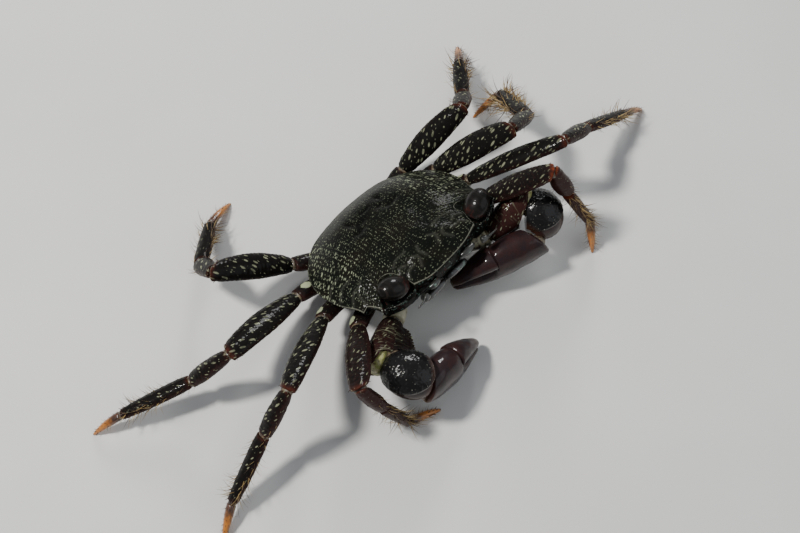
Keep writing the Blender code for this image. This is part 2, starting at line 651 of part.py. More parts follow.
def dome(name, side_name, centre, cuts, grow=0.0):
    """A rounded claw carpus, cut flat where it meets its neighbours."""
    along = unit(CARPUS_WAY[side_name])
    across = unit(np.cross(along, (0, 0, 1)))
    lift = np.cross(across, along)
    radii = np.array(CARPUS_RADII[side_name]) + grow
    rings, sides = 9, 16
    points = []
    for ring in range(rings):
        turn = math.pi * (ring + 0.4) / (rings - 0.2)
        for side in range(sides):
            angle = 2 * math.pi * side / sides
            offset = across * math.cos(angle) * radii[1] + lift * math.sin(angle) * radii[2]
            points.append(centre - along * math.cos(turn) * radii[0] + offset * math.sin(turn))
    made = add_node(name, points, ring_faces(rings, sides), "claw")
    for spot, way in cuts:
        cut_flat(made, spot, way)
    return made


def cut_flat(target, spot, way):
    """Remove what lies behind a plane and close the cut."""
    work = bmesh.new()
    work.from_mesh(target.data)
    geometry = work.verts[:] + work.edges[:] + work.faces[:]
    cut = bmesh.ops.bisect_plane(work, geom=geometry, plane_co=tuple(spot * MM), plane_no=tuple(way),
                                 clear_inner=True)
    rim = [item for item in cut["geom_cut"] if isinstance(item, bmesh.types.BMEdge)]
    bmesh.ops.contextual_create(work, geom=rim)
    bmesh.ops.recalc_face_normals(work, faces=work.faces)
    work.to_mesh(target.data)
    work.free()


def palm_level(aim):
    """Direction from the fixed finger to the moving one: up, leaning to the rear."""
    up = np.array((0.0, 0.0, 1.0))
    level = unit(up - (up @ aim) * aim)
    side = np.cross(aim, level)
    lean = math.radians(PALM_LEAN_DEG)
    return unit(math.cos(lean) * level + math.sin(lean) * side * np.sign(side[1]))


def claw(side_name):
    """One cheliped: root, merus, domed carpus, palm with its fixed finger, and moving finger."""
    root, hip, elbow, middle, wrist, tip = (np.array(p) for p in CLAW_POSE[side_name])
    up = np.array((0.0, 0.0, 1.0))
    ways = [unit(hip - root), unit(elbow - hip)]
    leave, arrive, aim = unit(middle - elbow), unit(wrist - middle), unit(tip - wrist)
    hip_cut, elbow_cut = unit(ways[0] + ways[1]), unit(ways[1] + leave)
    wrist_cut = unit(arrive + aim)
    tube(f"claw_ischium_{side_name}", straight(root, hip),
         CLAW_ISCHIUM, up, "belly", (None, hip_cut), 6, 10)
    merus = tube(f"claw_merus_{side_name}", straight(hip, elbow), CLAW_MERUS,
                 np.array(MERUS_FRONT), "limb", (hip_cut, elbow_cut), 9, 14, 1.8)
    claw_blade(merus, hip, elbow, unit(BLADE_WAY[side_name]), BLADE_REACH[side_name], elbow_cut)
    cuts = ((elbow + elbow_cut * GAP / 2, elbow_cut), (wrist - wrist_cut * GAP / 2, -wrist_cut))
    room = dome("room", side_name, middle, ((elbow, elbow_cut),), GAP)
    apply_boolean(merus, room, "DIFFERENCE")
    dome(f"claw_carpus_{side_name}", side_name, middle, cuts)
    level = palm_level(aim)
    length = np.linalg.norm(tip - wrist)
    knuckle = wrist + aim * length * PALM_SHARE
    tall, flat = PALM_HALF_HEIGHT, PALM_HALF_THICKNESS
    shape = [(place, wide * flat, high * tall) for place, wide, high in (PALM_START[side_name], *PALM_SHAPE)]
    palm = tube(f"claw_palm_{side_name}", straight(wrist, knuckle), shape, level, "claw",
                (wrist_cut, None), 9, 16, 2.2)
    wider = [(place, wide + GAP, high + GAP) for place, wide, high in shape]
    room = tube("palm_room", straight(wrist, knuckle), wider, level, "claw", (None, None), 9, 16, 2.2)
    apply_boolean(merus, room, "DIFFERENCE")
    low = level * -tall * 0.5
    fixed = finger("fixed_finger", knuckle + low - aim * 2.5, tip - level * 0.68, level, -0.15)
    apply_boolean(palm, fixed, "UNION")
    high = level * tall * 0.55
    finger(f"claw_finger_{side_name}", knuckle + high + aim * GAP, tip + level * 0.6, level, 0.5)


def smooth(target):
    """Shade round pieces smooth but keep sharp rims."""
    target.data.shade_smooth()
    target.data.set_sharp_from_angle(angle=math.radians(50))


def centre_on_floor(items):
    """Slide the whole crab so that its box is centred over the origin."""
    corners = [vertex.co for item in items for vertex in item.data.vertices]
    middle = [(min(c[axis] for c in corners) + max(c[axis] for c in corners)) / 2 for axis in (0, 1)]
    for item in items:
        item.data.transform(Matrix.Translation((-middle[0], -middle[1], 0.0)))


def build():
    """Build every node."""
    clear_scene()
    rng = random.Random(SEED)
    shell()
    underside()
    for side_name, sign in (("left", 1), ("right", -1)):
        face_parts(side_name, sign)
        for number in LEG_BASE:
            leg(f"{side_name}_{number}", number, sign, rng)
        claw(side_name)
    items = list(bpy.context.scene.collection.objects)
    for item in items:
        smooth(item)
    centre_on_floor(items)


build()
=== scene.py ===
"""Cliff crab, life size, standing still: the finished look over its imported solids."""
import logging
import math
from dataclasses import dataclass, field
from enum import Enum

import bmesh
import bpy
import numpy as np
from mathutils import Matrix, Vector


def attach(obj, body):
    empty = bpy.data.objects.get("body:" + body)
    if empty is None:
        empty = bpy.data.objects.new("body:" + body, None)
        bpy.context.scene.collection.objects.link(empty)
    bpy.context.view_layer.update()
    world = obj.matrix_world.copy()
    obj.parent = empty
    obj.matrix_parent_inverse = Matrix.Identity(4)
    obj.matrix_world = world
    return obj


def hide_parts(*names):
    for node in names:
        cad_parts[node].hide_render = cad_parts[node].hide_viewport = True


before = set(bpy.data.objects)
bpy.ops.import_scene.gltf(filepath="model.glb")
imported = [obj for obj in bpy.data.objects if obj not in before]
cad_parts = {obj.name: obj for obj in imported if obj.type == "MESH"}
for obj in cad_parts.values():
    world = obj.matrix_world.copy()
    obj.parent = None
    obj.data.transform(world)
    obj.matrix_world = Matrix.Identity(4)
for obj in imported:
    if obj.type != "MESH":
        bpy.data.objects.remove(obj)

MM = 0.001
SEED = 11
GAP = 0.3
CENTRE_SHIFT = (2.38, 0.254, 0.0)
BODY_HEIGHT = 14.02
NOSE_UP_DEG = 20.68
LEAN_DEG = 1.41
LEFT_REACH = 4.0
# Turn from the body frame to the world.
BODY_TURN = np.array(Matrix.Rotation(-math.radians(NOSE_UP_DEG), 3, "X")
                     @ Matrix.Rotation(math.radians(LEAN_DEG), 3, "Y"))
FLOOR_CLEARANCE = 0.00002
# What grows: forms to the square metre, length, radius and bend in metres, spread of the lie.
BRISTLE = {"Amount": 2.6e6, "Length": 0.0026, "Radius": 0.000065, "Bend": 0.0008, "Spread": 0.45}
SPINE = {"Amount": 1.0, "Length": 0.001, "Radius": 0.00017, "Bend": 0.0001, "Spread": 0.05}
GRANULE = {"Amount": 1.0, "Length": 0.00013, "Radius": 0.00013, "Bend": 0.0, "Spread": 0.0}
Stations = tuple[tuple[float, ...], ...]
Array = np.ndarray
Socket = bpy.types.NodeSocket
Mesh = bpy.types.Mesh
Material = bpy.types.Material
log = logging.getLogger("crab")


class Side(Enum):
    """The crab's own sides; the value is the sign of x."""

    LEFT = 1
    RIGHT = -1

    @property
    def word(self) -> str:
        """Lower-case name, as in the node names."""
        return self.name.lower()

    @property
    def flip(self) -> Array:
        """Factors that mirror a left-hand point to this side."""
        return np.array((self.value, 1.0, 1.0))


class Growth(Enum):
    """What a coat tree places on its guide."""

    SCATTER = "points scattered over faces"
    STUDS = "one form on every vertex"


def keyed(table: dict) -> object:
    """Dataclass field that holds its own copy of a table."""
    return field(default_factory=lambda: dict(table))


# Shape helpers.


def unit(vector: Array) -> Array:
    """Return a vector's direction."""
    array = np.asarray(vector, float)
    return array / np.linalg.norm(array)


def to_world(points: Array) -> Array:
    """Body frame points to world points, both in mm, before the slide over the origin."""
    return np.asarray(points, float) @ BODY_TURN.T + np.array((0.0, 0.0, BODY_HEIGHT))


def left_reach(points: Array) -> Array:
    """Body-frame points with the left front quarter of the shell drawn outward, as the photo shows it.

    Args:
        points: Array of points (mm).

    Returns:
        The moved points.
    """
    out = np.array(points, float)
    across = step_between(-4.0, 8.0, out[..., 0])
    ahead = step_between(-7.8, -13.2, out[..., 1])
    end = 1 - 0.6 * step_between(13.0, 18.0, out[..., 0])
    out[..., 0] += LEFT_REACH * across * ahead * end
    return out


def bearing(angle: float, climb: float) -> Array:
    """Unit vector from a compass bearing and a climb in degrees."""
    angle, climb = math.radians(angle), math.radians(climb)
    return np.array((math.cos(angle) * math.cos(climb), math.sin(angle) * math.cos(climb), math.sin(climb)))


def smooth_values(stations: Stations, places: Array) -> Array:
    """Monotone cubic values through stations.

    Args:
        stations: Rows of (place, value, ...), places rising.
        places: Where the values are wanted.

    Returns:
        One row of values for each place.
    """
    table = np.array(stations, float)
    x, y = table[:, 0], table[:, 1:]
    slope = np.diff(y, axis=0) / np.diff(x)[:, None]
    total = slope[1:] + slope[:-1]
    total = np.where(np.abs(total) < 1e-9, 1.0, total)
    tangent = np.zeros_like(y)
    product = slope[1:] * slope[:-1]
    tangent[1:-1] = np.where(product > 0, 2 * product / total, 0.0)
    tangent[0], tangent[-1] = slope[0], slope[-1]
    places = np.clip(places, x[0], x[-1])
    k = np.clip(np.searchsorted(x, places, side="right") - 1, 0, len(x) - 2)
    wide = (x[k + 1] - x[k])[:, None]
    t = (places - x[k])[:, None] / wide
    return ((1 + 2 * t) * (1 - t) ** 2 * y[k] + t * (1 - t) ** 2 * wide * tangent[k]
            + t * t * (3 - 2 * t) * y[k + 1] + t * t * (t - 1) * wide * tangent[k + 1])


def curve_through(points: Stations, count: int) -> Array:
    """Evenly spaced points on a smooth curve through stations, both ends included.

    Args:
        points: Stations of the curve.
        count: How many points are wanted.

    Returns:
        Array of count points.
    """
    stations = [np.array(p, float) for p in points]
    stations = [2 * stations[0] - stations[1], *stations, 2 * stations[-1] - stations[-2]]
    fine = []
    for index in range(1, len(stations) - 2):
        a, b, c, d = stations[index - 1:index + 3]
        for t in np.linspace(0, 1, 24, endpoint=False):
            fine.append(0.5 * (2 * b + (c - a) * t + (2 * a - 5 * b + 4 * c - d) * t * t
                               + (3 * b - a - 3 * c + d) * t ** 3))
    fine.append(stations[-2])
    fine = np.array(fine)
    run = np.concatenate(([0], np.cumsum(np.linalg.norm(np.diff(fine, axis=0), axis=1))))
    spots = np.linspace(0, run[-1], count)
    return np.stack([np.interp(spots, run, fine[:, axis]) for axis in range(3)], axis=1)


def angles(count: int) -> Array:
    """Even angles round a circle, from 0."""
    return 2 * math.pi * np.arange(count) / count


def eased(count: int) -> Array:
    """Places from 0 to 1 that lie closer at both ends."""
    return 0.5 - 0.5 * np.cos(math.pi * np.linspace(0, 1, count))


def step_between(low: float, high: float, value: Array) -> Array:
    """Smooth step from 0 at low to 1 at high."""
    t = np.clip((np.asarray(value, float) - low) / (high - low), 0, 1)
    return t * t * (3 - 2 * t)


def ripple(points: Array, size: float, seed: int) -> Array:
    """Smooth irregular waves in space, about -1 to 1.

    Args:
        points: Positions in mm.
        size: Length of a wave in mm.
        seed: Picks the waves.

    Returns:
        One value for each point.
    """
    rng = np.random.default_rng(seed)
    total = np.zeros(points.shape[:-1])
    for _ in range(7):
        way = unit(rng.normal(size=3)) * rng.uniform(0.6, 1.5)
        total += np.sin(points @ way * (2 * math.pi / size) + rng.uniform(0, 6.3))
    return total / 3.2


@dataclass
class Skin:
    """A closed surface of rings wound round an axis, from one pole to the other (mm)."""

    grid: Array
    marks: dict[str, Array] = field(default_factory=dict)
    chart: Array | None = None

    def normals(self) -> Array:
        """Outward unit normals on the grid.

        Returns:
            One normal for each point.
        """
        ahead = np.gradient(self.grid, axis=0)
        around = np.roll(self.grid, -1, axis=1) - np.roll(self.grid, 1, axis=1)
        normal = np.cross(around, ahead)
        normal /= np.linalg.norm(normal, axis=2, keepdims=True) + 1e-9
        outward = self.grid - self.grid.mean(axis=1, keepdims=True)
        if (normal * outward).sum() < 0:
            normal = -normal
        return normal

    def raised(self, height: Array) -> "Skin":
        """The same skin with each point moved along its normal."""
        return Skin(self.grid + self.normals() * height[..., None], self.marks, self.chart)

    def spans(self) -> tuple[Array, float]:
        """Run along the rings and mean girth, in mm.

        Returns:
            Run at each ring, and the middle girth.
        """
        centres = self.grid.mean(axis=1)
        run = np.concatenate(([0], np.cumsum(np.linalg.norm(np.diff(centres, axis=0), axis=1))))
        around = np.linalg.norm(np.roll(self.grid, -1, axis=1) - self.grid, axis=2).sum(axis=1)
        return run, float(np.median(around))

    def share(self) -> Array:
        """Share of the length at each point."""
        run, _ = self.spans()
        return (run / run[-1])[:, None] + np.zeros((1, self.grid.shape[1]))

    def turn(self) -> Array:
        """Angle of each point round its ring, as one row."""
        return angles(self.grid.shape[1])[None, :]

    def faces(self) -> list[list[int]]:
        """Quads between rings and a fan over each end, facing outward.

        Returns:
            Vertex numbers of each face.
        """
        rings, sides = self.grid.shape[:2]
        index = np.arange(rings * sides).reshape(rings, sides)
        after = np.roll(index, -1, axis=1)
        quads = np.stack((index[:-1], after[:-1], after[1:], index[1:]), axis=-1).reshape(-1, 4)
        first, last = rings * sides, rings * sides + 1
        fans = [[first, int(b), int(a)] for a, b in zip(index[0], after[0])]
        fans += [[last, int(a), int(b)] for a, b in zip(index[-1], after[-1])]
        made = quads.tolist() + fans
        points = self.points()
        corners = points[quads] - points.mean(axis=0)
        volume = np.einsum("ij,ij->i", corners[:, 0], np.cross(corners[:, 1], corners[:, 2])).sum()
        volume += np.einsum("ij,ij->i", corners[:, 0], np.cross(corners[:, 2], corners[:, 3])).sum()
        return made if volume > 0 else [face[::-1] for face in made]

    def points(self) -> Array:
        """All points, the two poles last."""
        flat = self.grid.reshape(-1, 3)
        return np.concatenate((flat, self.grid[0].mean(axis=0)[None], self.grid[-1].mean(axis=0)[None]))

    def corner_chart(self, loops: Array) -> Array:
        """Surface map in mm for each face corner, unbroken where the skin closes on itself.

        Args:
            loops: Vertex number of each corner, faces in the order of faces().

        Returns:
            One (along, around) pair for each corner.
        """
        rings, sides = self.grid.shape[:2]
        if self.chart is not None:
            flat = self.chart.reshape(-1, 2)
            flat = np.concatenate((flat, self.chart[0].mean(axis=0)[None],
                                   self.chart[-1].mean(axis=0)[None]))
            return flat[loops]
        run, girth = self.spans()
        ring = np.clip(loops // sides, 0, rings - 1)
        side = (loops % sides).astype(float)
        count = (rings - 1) * sides * 4
        block = side[:count].reshape(-1, 4)
        block[(block.max(axis=1) == sides - 1)[:, None] & (block == 0)] = sides
        side[:count] = block.reshape(-1)
        along = run[ring]
        along[loops == rings * sides + 1] = run[-1]
        return np.stack((along, side * girth / sides), axis=1)

    def build(self, name: str) -> Mesh:
        """Plain mesh of the skin, in metres over the origin, with its map and marks.

        Args:
            name: Name of the mesh.

        Returns:
            The mesh.
        """
        mesh = bpy.data.meshes.new(name)
        points = (self.points() + np.array(CENTRE_SHIFT)) * MM
        mesh.from_pydata(points.tolist(), [], self.faces())
        loops = np.zeros(len(mesh.loops), np.int32)
        mesh.loops.foreach_get("vertex_index", loops)
        layer = mesh.uv_layers.new(name="surface")
        layer.data.foreach_set("uv", self.corner_chart(loops).astype(np.float32).reshape(-1))
        for key, values in self.marks.items():
            wide = values.shape[2:] == (3,)
            made = mesh.attributes.new(key, "FLOAT_VECTOR" if wide else "FLOAT", "POINT")
            flat = values.reshape(-1, 3) if wide else values.reshape(-1)
            ends = np.stack((values[0].mean(axis=0), values[-1].mean(axis=0)))
            data = np.concatenate((flat, ends)).astype(np.float32).reshape(-1)
            made.data.foreach_set("vector" if wide else "value", data)
        mesh.shade_smooth()
        return mesh


def limb_skin(path: tuple, stations: Stations, up: Array, ends: tuple, rings: int = 48,
              sides: int = 32, power: float = 2.0, fillet: float = 0.45) -> Skin:
    """Skin of one limb length along a bent path, its ends cut in their joint planes.

    Args:
        path: Start, control point and end of the axis (mm).
        stations: (place, half width, half thickness, lift) rows; lift may be left out.
        up: Direction of the thickness.
        ends: Normals of the two cutting planes, None for square.
        rings: Rings along the length.
        sides: Points round each ring; the first is underneath.
        power: Squareness of the section, 2 for an ellipse.
        fillet: Length over which each end rounds in (mm).

    Returns:
        The skin.
    """
    start, bend, end = (np.asarray(p, float) for p in path)
    first, last = unit(bend - start), unit(end - bend)
    normals = [first if ends[0] is None else unit(ends[0]), last if ends[1] is None else unit(ends[1])]
    start = start + first * (GAP / 2) / max(0.3, normals[0] @ first)
    end = end - last * (GAP / 2) / max(0.3, normals[1] @ last)
    length = np.linalg.norm(bend - start) + np.linalg.norm(end - bend)
    places = eased(rings)
    sizes = smooth_values(stations, places)
    angle = angles(sides) - math.pi / 2
    cosine, sine = np.cos(angle), np.sin(angle)
    x = np.copysign(np.abs(cosine) ** (2 / power), cosine)
    y = np.copysign(np.abs(sine) ** (2 / power), sine)
    out = []
    for place, size in zip(places, sizes):
        centre = (1 - place) ** 2 * start + 2 * place * (1 - place) * bend + place ** 2 * end
        tangent = unit((1 - place) * (bend - start) + place * (end - bend))
        across = unit(np.cross(tangent, up))
        lift = np.cross(across, tangent)
        near = [max(0.0, 1 - d * length / fillet) for d in (place, 1 - place)]
        squeeze = 1 - 0.28 * max(near) ** 2
        offset = (x[:, None] * across * size[0] + y[:, None] * lift * size[1]) * squeeze
        blend = (max(0.0, 1 - place * 2.4) ** 1.5, max(0.0, 1 - (1 - place) * 2.4) ** 1.5)
        slide = sum(b * -(offset @ n) / max(0.35, tangent @ n) for b, n in zip(blend, normals))
        raise_by = lift * size[2] if len(size) > 2 else 0.0
        out.append(centre + raise_by + offset + slide[:, None] * tangent)
    return Skin(np.array(out))


def straight(start: Array, end: Array) -> list[Array]:
    """A straight path's three points."""
    return [np.asarray(start, float), (np.asarray(start, float) + end) / 2, np.asarray(end, float)]


# Finishes.


class Nodes:
    """Short calls that add, set and link the nodes of one tree."""

    tree: bpy.types.NodeTree

    def feed(self, socket: Socket, value: object) -> None:
        """Link a socket, or set a constant, into an input.

        Args:
            socket: The input.
            value: Another node's output, a number, a name or a colour.
        """
        if isinstance(value, Socket):
            self.tree.links.new(value, socket)
        elif isinstance(value, tuple) and len(value) == 3 and socket.type == "RGBA":
            socket.default_value = (*value, 1.0)
        else:
            socket.default_value = value

    def node(self, kind: str, inputs: dict[str | int, object] | None = None,
             **settings: object) -> bpy.types.NodeOutputs:
        """Add a node, set its properties and feed its inputs.

        Args:
            kind: Type of the node.
            inputs: Values or sockets by the input's name or number.
            **settings: Properties of the node.

        Returns:
            Its outputs.
        """
        made = self.tree.nodes.new(kind)
        for key, value in settings.items():
            setattr(made, key, value)
        for key, value in (inputs or {}).items():
            self.feed(made.inputs[key], value)
        return made.outputs

    def sums(self, operation: str, a: object, b: object = 0.0) -> Socket:
        """Result of one Math node on two values or sockets."""
        return self.node("ShaderNodeMath", {0: a, 1: b}, operation=operation)[0]

    def times(self, a: object, b: object) -> Socket:
        """Product of two values."""
        return self.sums("MULTIPLY", a, b)


class Board(Nodes):
    """A material's node tree, with short calls for the nodes that the finishes use."""

    def __init__(self, name: str) -> None:
        """Start a material with its Principled shader.

        Args:
            name: Name of the material.
        """
        self.material = bpy.data.materials.new(name)
        self.material.use_nodes = True
        self.tree = self.material.node_tree
        self.shader = self.tree.nodes["Principled BSDF"]

    def mix(self, factor: object, a: object, b: object) -> Socket:
        """Colour between a and b."""
        return self.node("ShaderNodeMix", {0: factor, 6: a, 7: b}, data_type="RGBA")[2]

    def window(self, value: object, low: object, high: object, first: float = 0.0,
               second: float = 1.0) -> Socket:
        """Smoothly map low..high to first..second."""
        return self.node("ShaderNodeMapRange", dict(enumerate((value, low, high, first, second))),
                         interpolation_type="SMOOTHSTEP")[0]

    def mark(self, name: str) -> Socket:
        """A mark painted on the skin."""
        return self.node("ShaderNodeAttribute", attribute_name=name)["Fac"]

    def mapped(self, source: Socket, **inputs: tuple) -> Socket:
        """Coordinates through a Mapping node."""
        return self.node("ShaderNodeMapping", {"Vector": source, **inputs})[0]

    def place(self) -> Socket:
        """Position on the crab in mm."""
        return self.mapped(self.node("ShaderNodeTexCoord")["Object"], Scale=(1000.0, 1000.0, 1000.0))

    def chart(self, along: float = 1.0, around: float = 1.0, turn_deg: float = 0.0) -> Socket:
        """Surface map in mm, turned, then divided by the given cell size.

        Args:
            along: Cell size along the skin.
            around: Cell size round it.
            turn_deg: Turn of the map.

        Returns:
            The coordinates.
        """
        source = self.node("ShaderNodeUVMap", uv_map="surface")[0]
        turned = self.mapped(source, Rotation=(0.0, 0.0, math.radians(turn_deg)))
        return self.mapped(turned, Scale=(1 / along, 1 / around, 1.0))

    def place_cells(self, size: float) -> Socket:
        """Position on the crab divided by a cell size in mm."""
        return self.mapped(self.place(), Scale=(1 / size, 1 / size, 1 / size))

    def noise(self, vector: Socket, size: float, detail: float = 3.0, rough: float = 0.55) -> Socket:
        """Noise with features of about the given size in the vector's units."""
        return self.node("ShaderNodeTexNoise", {"Vector": vector, "Scale": 1 / size, "Detail": detail,
                                                "Roughness": rough})["Fac"]

    def patch(self, vector: Socket, size: float, low: float, high: float, first: float = 0.0,
              second: float = 1.0, detail: float = 3.0) -> Socket:
        """Soft-edged patches: noise of one size, mapped from low..high to first..second."""
        return self.window(self.noise(vector, size, detail), low, high, first, second)

    def ragged(self, value: Socket, noise: Socket, amount: float = 1.0) -> Socket:
        """A value made uneven by noise."""
        return self.sums("ADD", value, self.times(self.sums("SUBTRACT", noise, 0.5), amount))

    def cells(self, vector: Socket, loose: float = 0.9, flat: bool = True) -> tuple[Socket, Socket]:
        """Distance to the nearest cell's middle, and a chance value of that cell.

        Args:
            vector: Coordinates in cell units.
            loose: How irregular the cells lie.
            flat: True for cells on the surface map, False in space.

        Returns:
            The distance and the chance value.
        """
        made = self.node("ShaderNodeTexVoronoi", {"Vector": vector, "Scale": 1.0, "Randomness": loose},
                         voronoi_dimensions="2D" if flat else "3D")
        return made["Distance"], self.node("ShaderNodeSeparateColor", {0: made["Color"]})[0]

    def spots(self, vector: Socket, reach: object, keep: float = 0.2, loose: float = 0.9,
              flat: bool = True) -> Socket:
        """Pale spots, one to a cell, of uneven sizes.

        Args:
            vector: Coordinates in cell units.
            reach: Radius of the largest spots in cells.
            keep: Chance value under which a cell stays empty.
            loose: How irregular the cells lie.
            flat: True for cells on the surface map, False in space.

        Returns:
            Mask of the spots.
        """
        distance, chance = self.cells(vector, loose, flat)
        size = self.times(self.window(chance, keep, 1.0, 0.25, 1.0), reach)
        size = self.times(size, self.window(chance, keep - 0.05, keep, 0.0, 1.0))
        inner = self.times(size, 0.72)
        return self.window(distance, inner, self.sums("ADD", size, 0.02), 1.0, 0.0)

    def bump(self, height: Socket, depth_mm: float, before: Socket | None = None) -> Socket:
        """Bump of the given depth, on top of another if one is given."""
        inputs = {"Strength": 1.0, "Distance": depth_mm * MM, "Height": height}
        return self.node("ShaderNodeBump", inputs if before is None else {**inputs, "Normal": before})[0]

    def finish(self, colour: object, rough: float, normal: Socket | None = None, coat: tuple = (),
               specular: float = 0.5, **shader: object) -> Material:
        """Connect the surface.

        Args:
            colour: Base colour.
            rough: Roughness under the coat.
            normal: Bumped normal, if any.
            coat: Weight, roughness and refractive index of the clear coat, as many as differ.
            specular: Specular level.
            **shader: Further inputs of the shader by name.

        Returns:
            The material.
        """
        self.feed(self.shader.inputs["Base Color"], colour)
        if normal is not None:
            self.feed(self.shader.inputs["Normal"], normal)
            if coat:
                self.feed(self.shader.inputs["Coat Normal"], normal)
        values = dict(zip(("Coat Weight", "Coat Roughness", "Coat IOR"), coat), **shader)
        for key, value in {"Roughness": rough, "Specular IOR Level": specular, **values}.items():
            self.shader.inputs[key].default_value = value
        return self.material


@dataclass(frozen=True)
class ShellFinish:
    """Wet black-green carapace with pale dashes in oblique rows and small dots in the middle; painted shade
    in the hollows and painted glints on the fine ridges.
    """

    slot: str = "shell"
    dark: tuple = (0.0048, 0.0058, 0.0044)
    brown: tuple = (0.0095, 0.0082, 0.006)
    pale: tuple = (0.25, 0.28, 0.185)
    margin: tuple = (0.20, 0.20, 0.16)
    aqua: tuple = (0.085, 0.13, 0.105)
    red: tuple = (0.05, 0.012, 0.012)

    def build(self) -> Material:
        """Make the material.

        Returns:
            The finished material.
        """
        board = Board("shell_wet_black_green")
        place = board.place()
        lateral = board.mark("lateral")
        dashes = board.spots(board.chart(1.5, 0.72), board.window(lateral, 0.15, 0.9, 0.0, 0.31), 0.32, 0.75)
        short = board.spots(board.chart(0.86, 0.5), board.window(lateral, 0.0, 0.8, 0.21, 0.28), 0.33, 0.6)
        dots = board.spots(board.chart(0.52, 0.46), board.window(lateral, 0.0, 0.6, 0.24, 0.12), 0.5, 0.8)
        pale = board.sums("MAXIMUM", board.sums("MAXIMUM", dashes, short), dots)
        pale = board.times(pale, board.window(lateral, 0.0, 0.7, 0.5, 0.95))
        pale = board.times(pale, board.patch(place, 2.4, 0.32, 0.62, 0.25, 1.0))
        pale = board.times(pale, board.window(board.mark("under"), 0.0, 0.5, 1.0, 0.12))
        # Painted shade in the hollows thins the pale marks there.
        pale = board.times(pale, board.window(board.mark("groove"), 0.0, 0.8, 1.0, 0.3))
        ground = board.mix(board.patch(place, 5.0, 0.42, 0.7), self.dark, self.brown)
        # Painted shade: the hollows go near black.
        ground = board.mix(board.mark("groove"), ground, (0.0016, 0.0016, 0.0015))
        face = board.mix(board.patch(place, 0.9, 0.6, 0.66, detail=2.0), self.dark, self.aqua)
        face = board.mix(board.patch(place, 0.8, 0.6, 0.68, detail=2.0), face, self.red)
        ground = board.mix(board.mark("under"), ground, face)
        colour = board.mix(pale, ground, self.pale)
        # Pale line along the rim, plus painted glints along the fine ridges.
        colour = board.mix(board.mark("margin"), colour, self.margin)
        normal = board.bump(board.noise(place, 0.62, 1.5), 0.08)
        normal = board.bump(pale, 0.02, normal)
        return board.finish(colour, 0.5, normal, (0.19, 0.05, 1.33), 0.02)


@dataclass(frozen=True)
class LimbFinish:
    """Wet black-brown legs: slanting pale dashes, red-brown edges, cream spots near the body."""

    slot: str = "limb"
    name: str = "limb_right_wet_black_brown"
    slant_deg: float = 27.0
    dark: tuple = (0.0068, 0.0058, 0.0053)
    warm: tuple = (0.034, 0.0125, 0.0105)
    pale: tuple = (0.215, 0.225, 0.145)
    cream: tuple = (0.36, 0.40, 0.24)
    joint: tuple = (0.24, 0.045, 0.014)
    soft: tuple = (0.30, 0.32, 0.085)

    def build(self) -> Material:
        """Make the material.

        Returns:
            The finished material.
        """
        board = Board(self.name)
        place = board.place()
        speckle = board.noise(place, 0.5, 4.0, 0.7)
        warm = board.window(board.ragged(board.mark("warm"), speckle), 0.25, 0.9)
        ground = board.mix(warm, self.dark, self.warm)
        dash = board.mark("dash")
        dashes = board.spots(board.chart(2.1, 0.66, self.slant_deg), board.times(dash, 0.35), 0.4)
        small = board.spots(board.chart(1.1, 0.8, self.slant_deg), board.times(dash, 0.2), 0.6)
        pale = board.sums("MAXIMUM", dashes, board.times(small, 0.8))
        pale = board.times(pale, board.patch(place, 1.8, 0.32, 0.6, 0.3, 1.0))
        fine = board.patch(board.chart(0.42, 4.0), 1.0, 0.56, 0.68, detail=2.0)
        pale = board.sums("MAXIMUM", pale, board.times(fine, board.mark("striae")))
        colour = board.mix(pale, ground, self.pale)
        blotch = board.window(board.ragged(board.mark("cream"), board.noise(place, 1.1)), 0.5, 0.62)
        colour = board.mix(board.times(blotch, 0.9), colour, self.cream)
        joint = board.times(board.mark("joint"), board.patch(place, 0.9, 0.35, 0.6, 0.3, 1.0))
        colour = board.mix(joint, colour, self.joint)
        soft = board.mix(board.patch(place, 0.8, 0.4, 0.65), self.soft, self.cream)
        colour = board.mix(board.mark("soft"), colour, soft)
        normal = board.bump(board.noise(place, 0.55, 1.5), 0.025)
        lines = board.noise(board.chart(3.0, 0.42, self.slant_deg), 1.0, 1.0)
        normal = board.bump(lines, 0.03, board.bump(pale, 0.02, normal))
        return board.finish(colour, 0.5, normal, (0.3, 0.05, 1.33), 0.03)


@dataclass(frozen=True)
class ClawFinish:
    """Smooth purple-brown claws; the domed carpus is darker, with small pale dots that are partly real and
    partly painted glints.
    """

    slot: str = "claw"
    purple: tuple = (0.021, 0.0125, 0.0142)
    red: tuple = (0.031, 0.0128, 0.012)
    dark: tuple = (0.0062, 0.0056, 0.0058)
    olive: tuple = (0.085, 0.062, 0.036)
    pale: tuple = (0.30, 0.30, 0.24)
    orange: tuple = (0.26, 0.08, 0.022)

    def build(self) -> Material:
        """Make the material.

        Returns:
            The finished material.
        """
        board = Board("claw_smooth_purple_brown")
        place = board.place()
        smooth = board.mix(board.patch(place, 2.2, 0.35, 0.65), self.purple, self.red)
        speckle = board.window(board.noise(place, 0.35, 4.0, 0.7), 0.5, 0.75, 0.0, 0.5)
        smooth = board.mix(speckle, smooth, self.dark)
        smooth = board.mix(board.mark("low"), smooth, self.olive)
        ground = board.mix(board.mark("dome"), smooth, self.dark)
        # Pale dots on the dome: partly real pale granules, partly painted glints.
        dots = board.spots(board.place_cells(0.55), board.times(board.mark("dome"), 0.19), 0.3, 0.9, False)
        colour = board.mix(dots, ground, self.pale)
        # The edge mark paints a pale line: a painted highlight along the dome's rim, and real pale teeth and
        # lower margin on the palm and finger.
        colour = board.mix(board.mark("edge"), colour, self.pale)
        colour = board.mix(board.mark("warm"), colour, self.orange)
        domed = board.window(board.mark("dome"), 0.0, 1.0, 0.2, 1.0)
        normal = board.bump(board.times(board.noise(place, 0.45, 1.5), domed), 0.075)
        normal = board.bump(dots, 0.03, normal)
        return board.finish(colour, 0.42, normal, (0.8, 0.035, 1.36), 0.06)


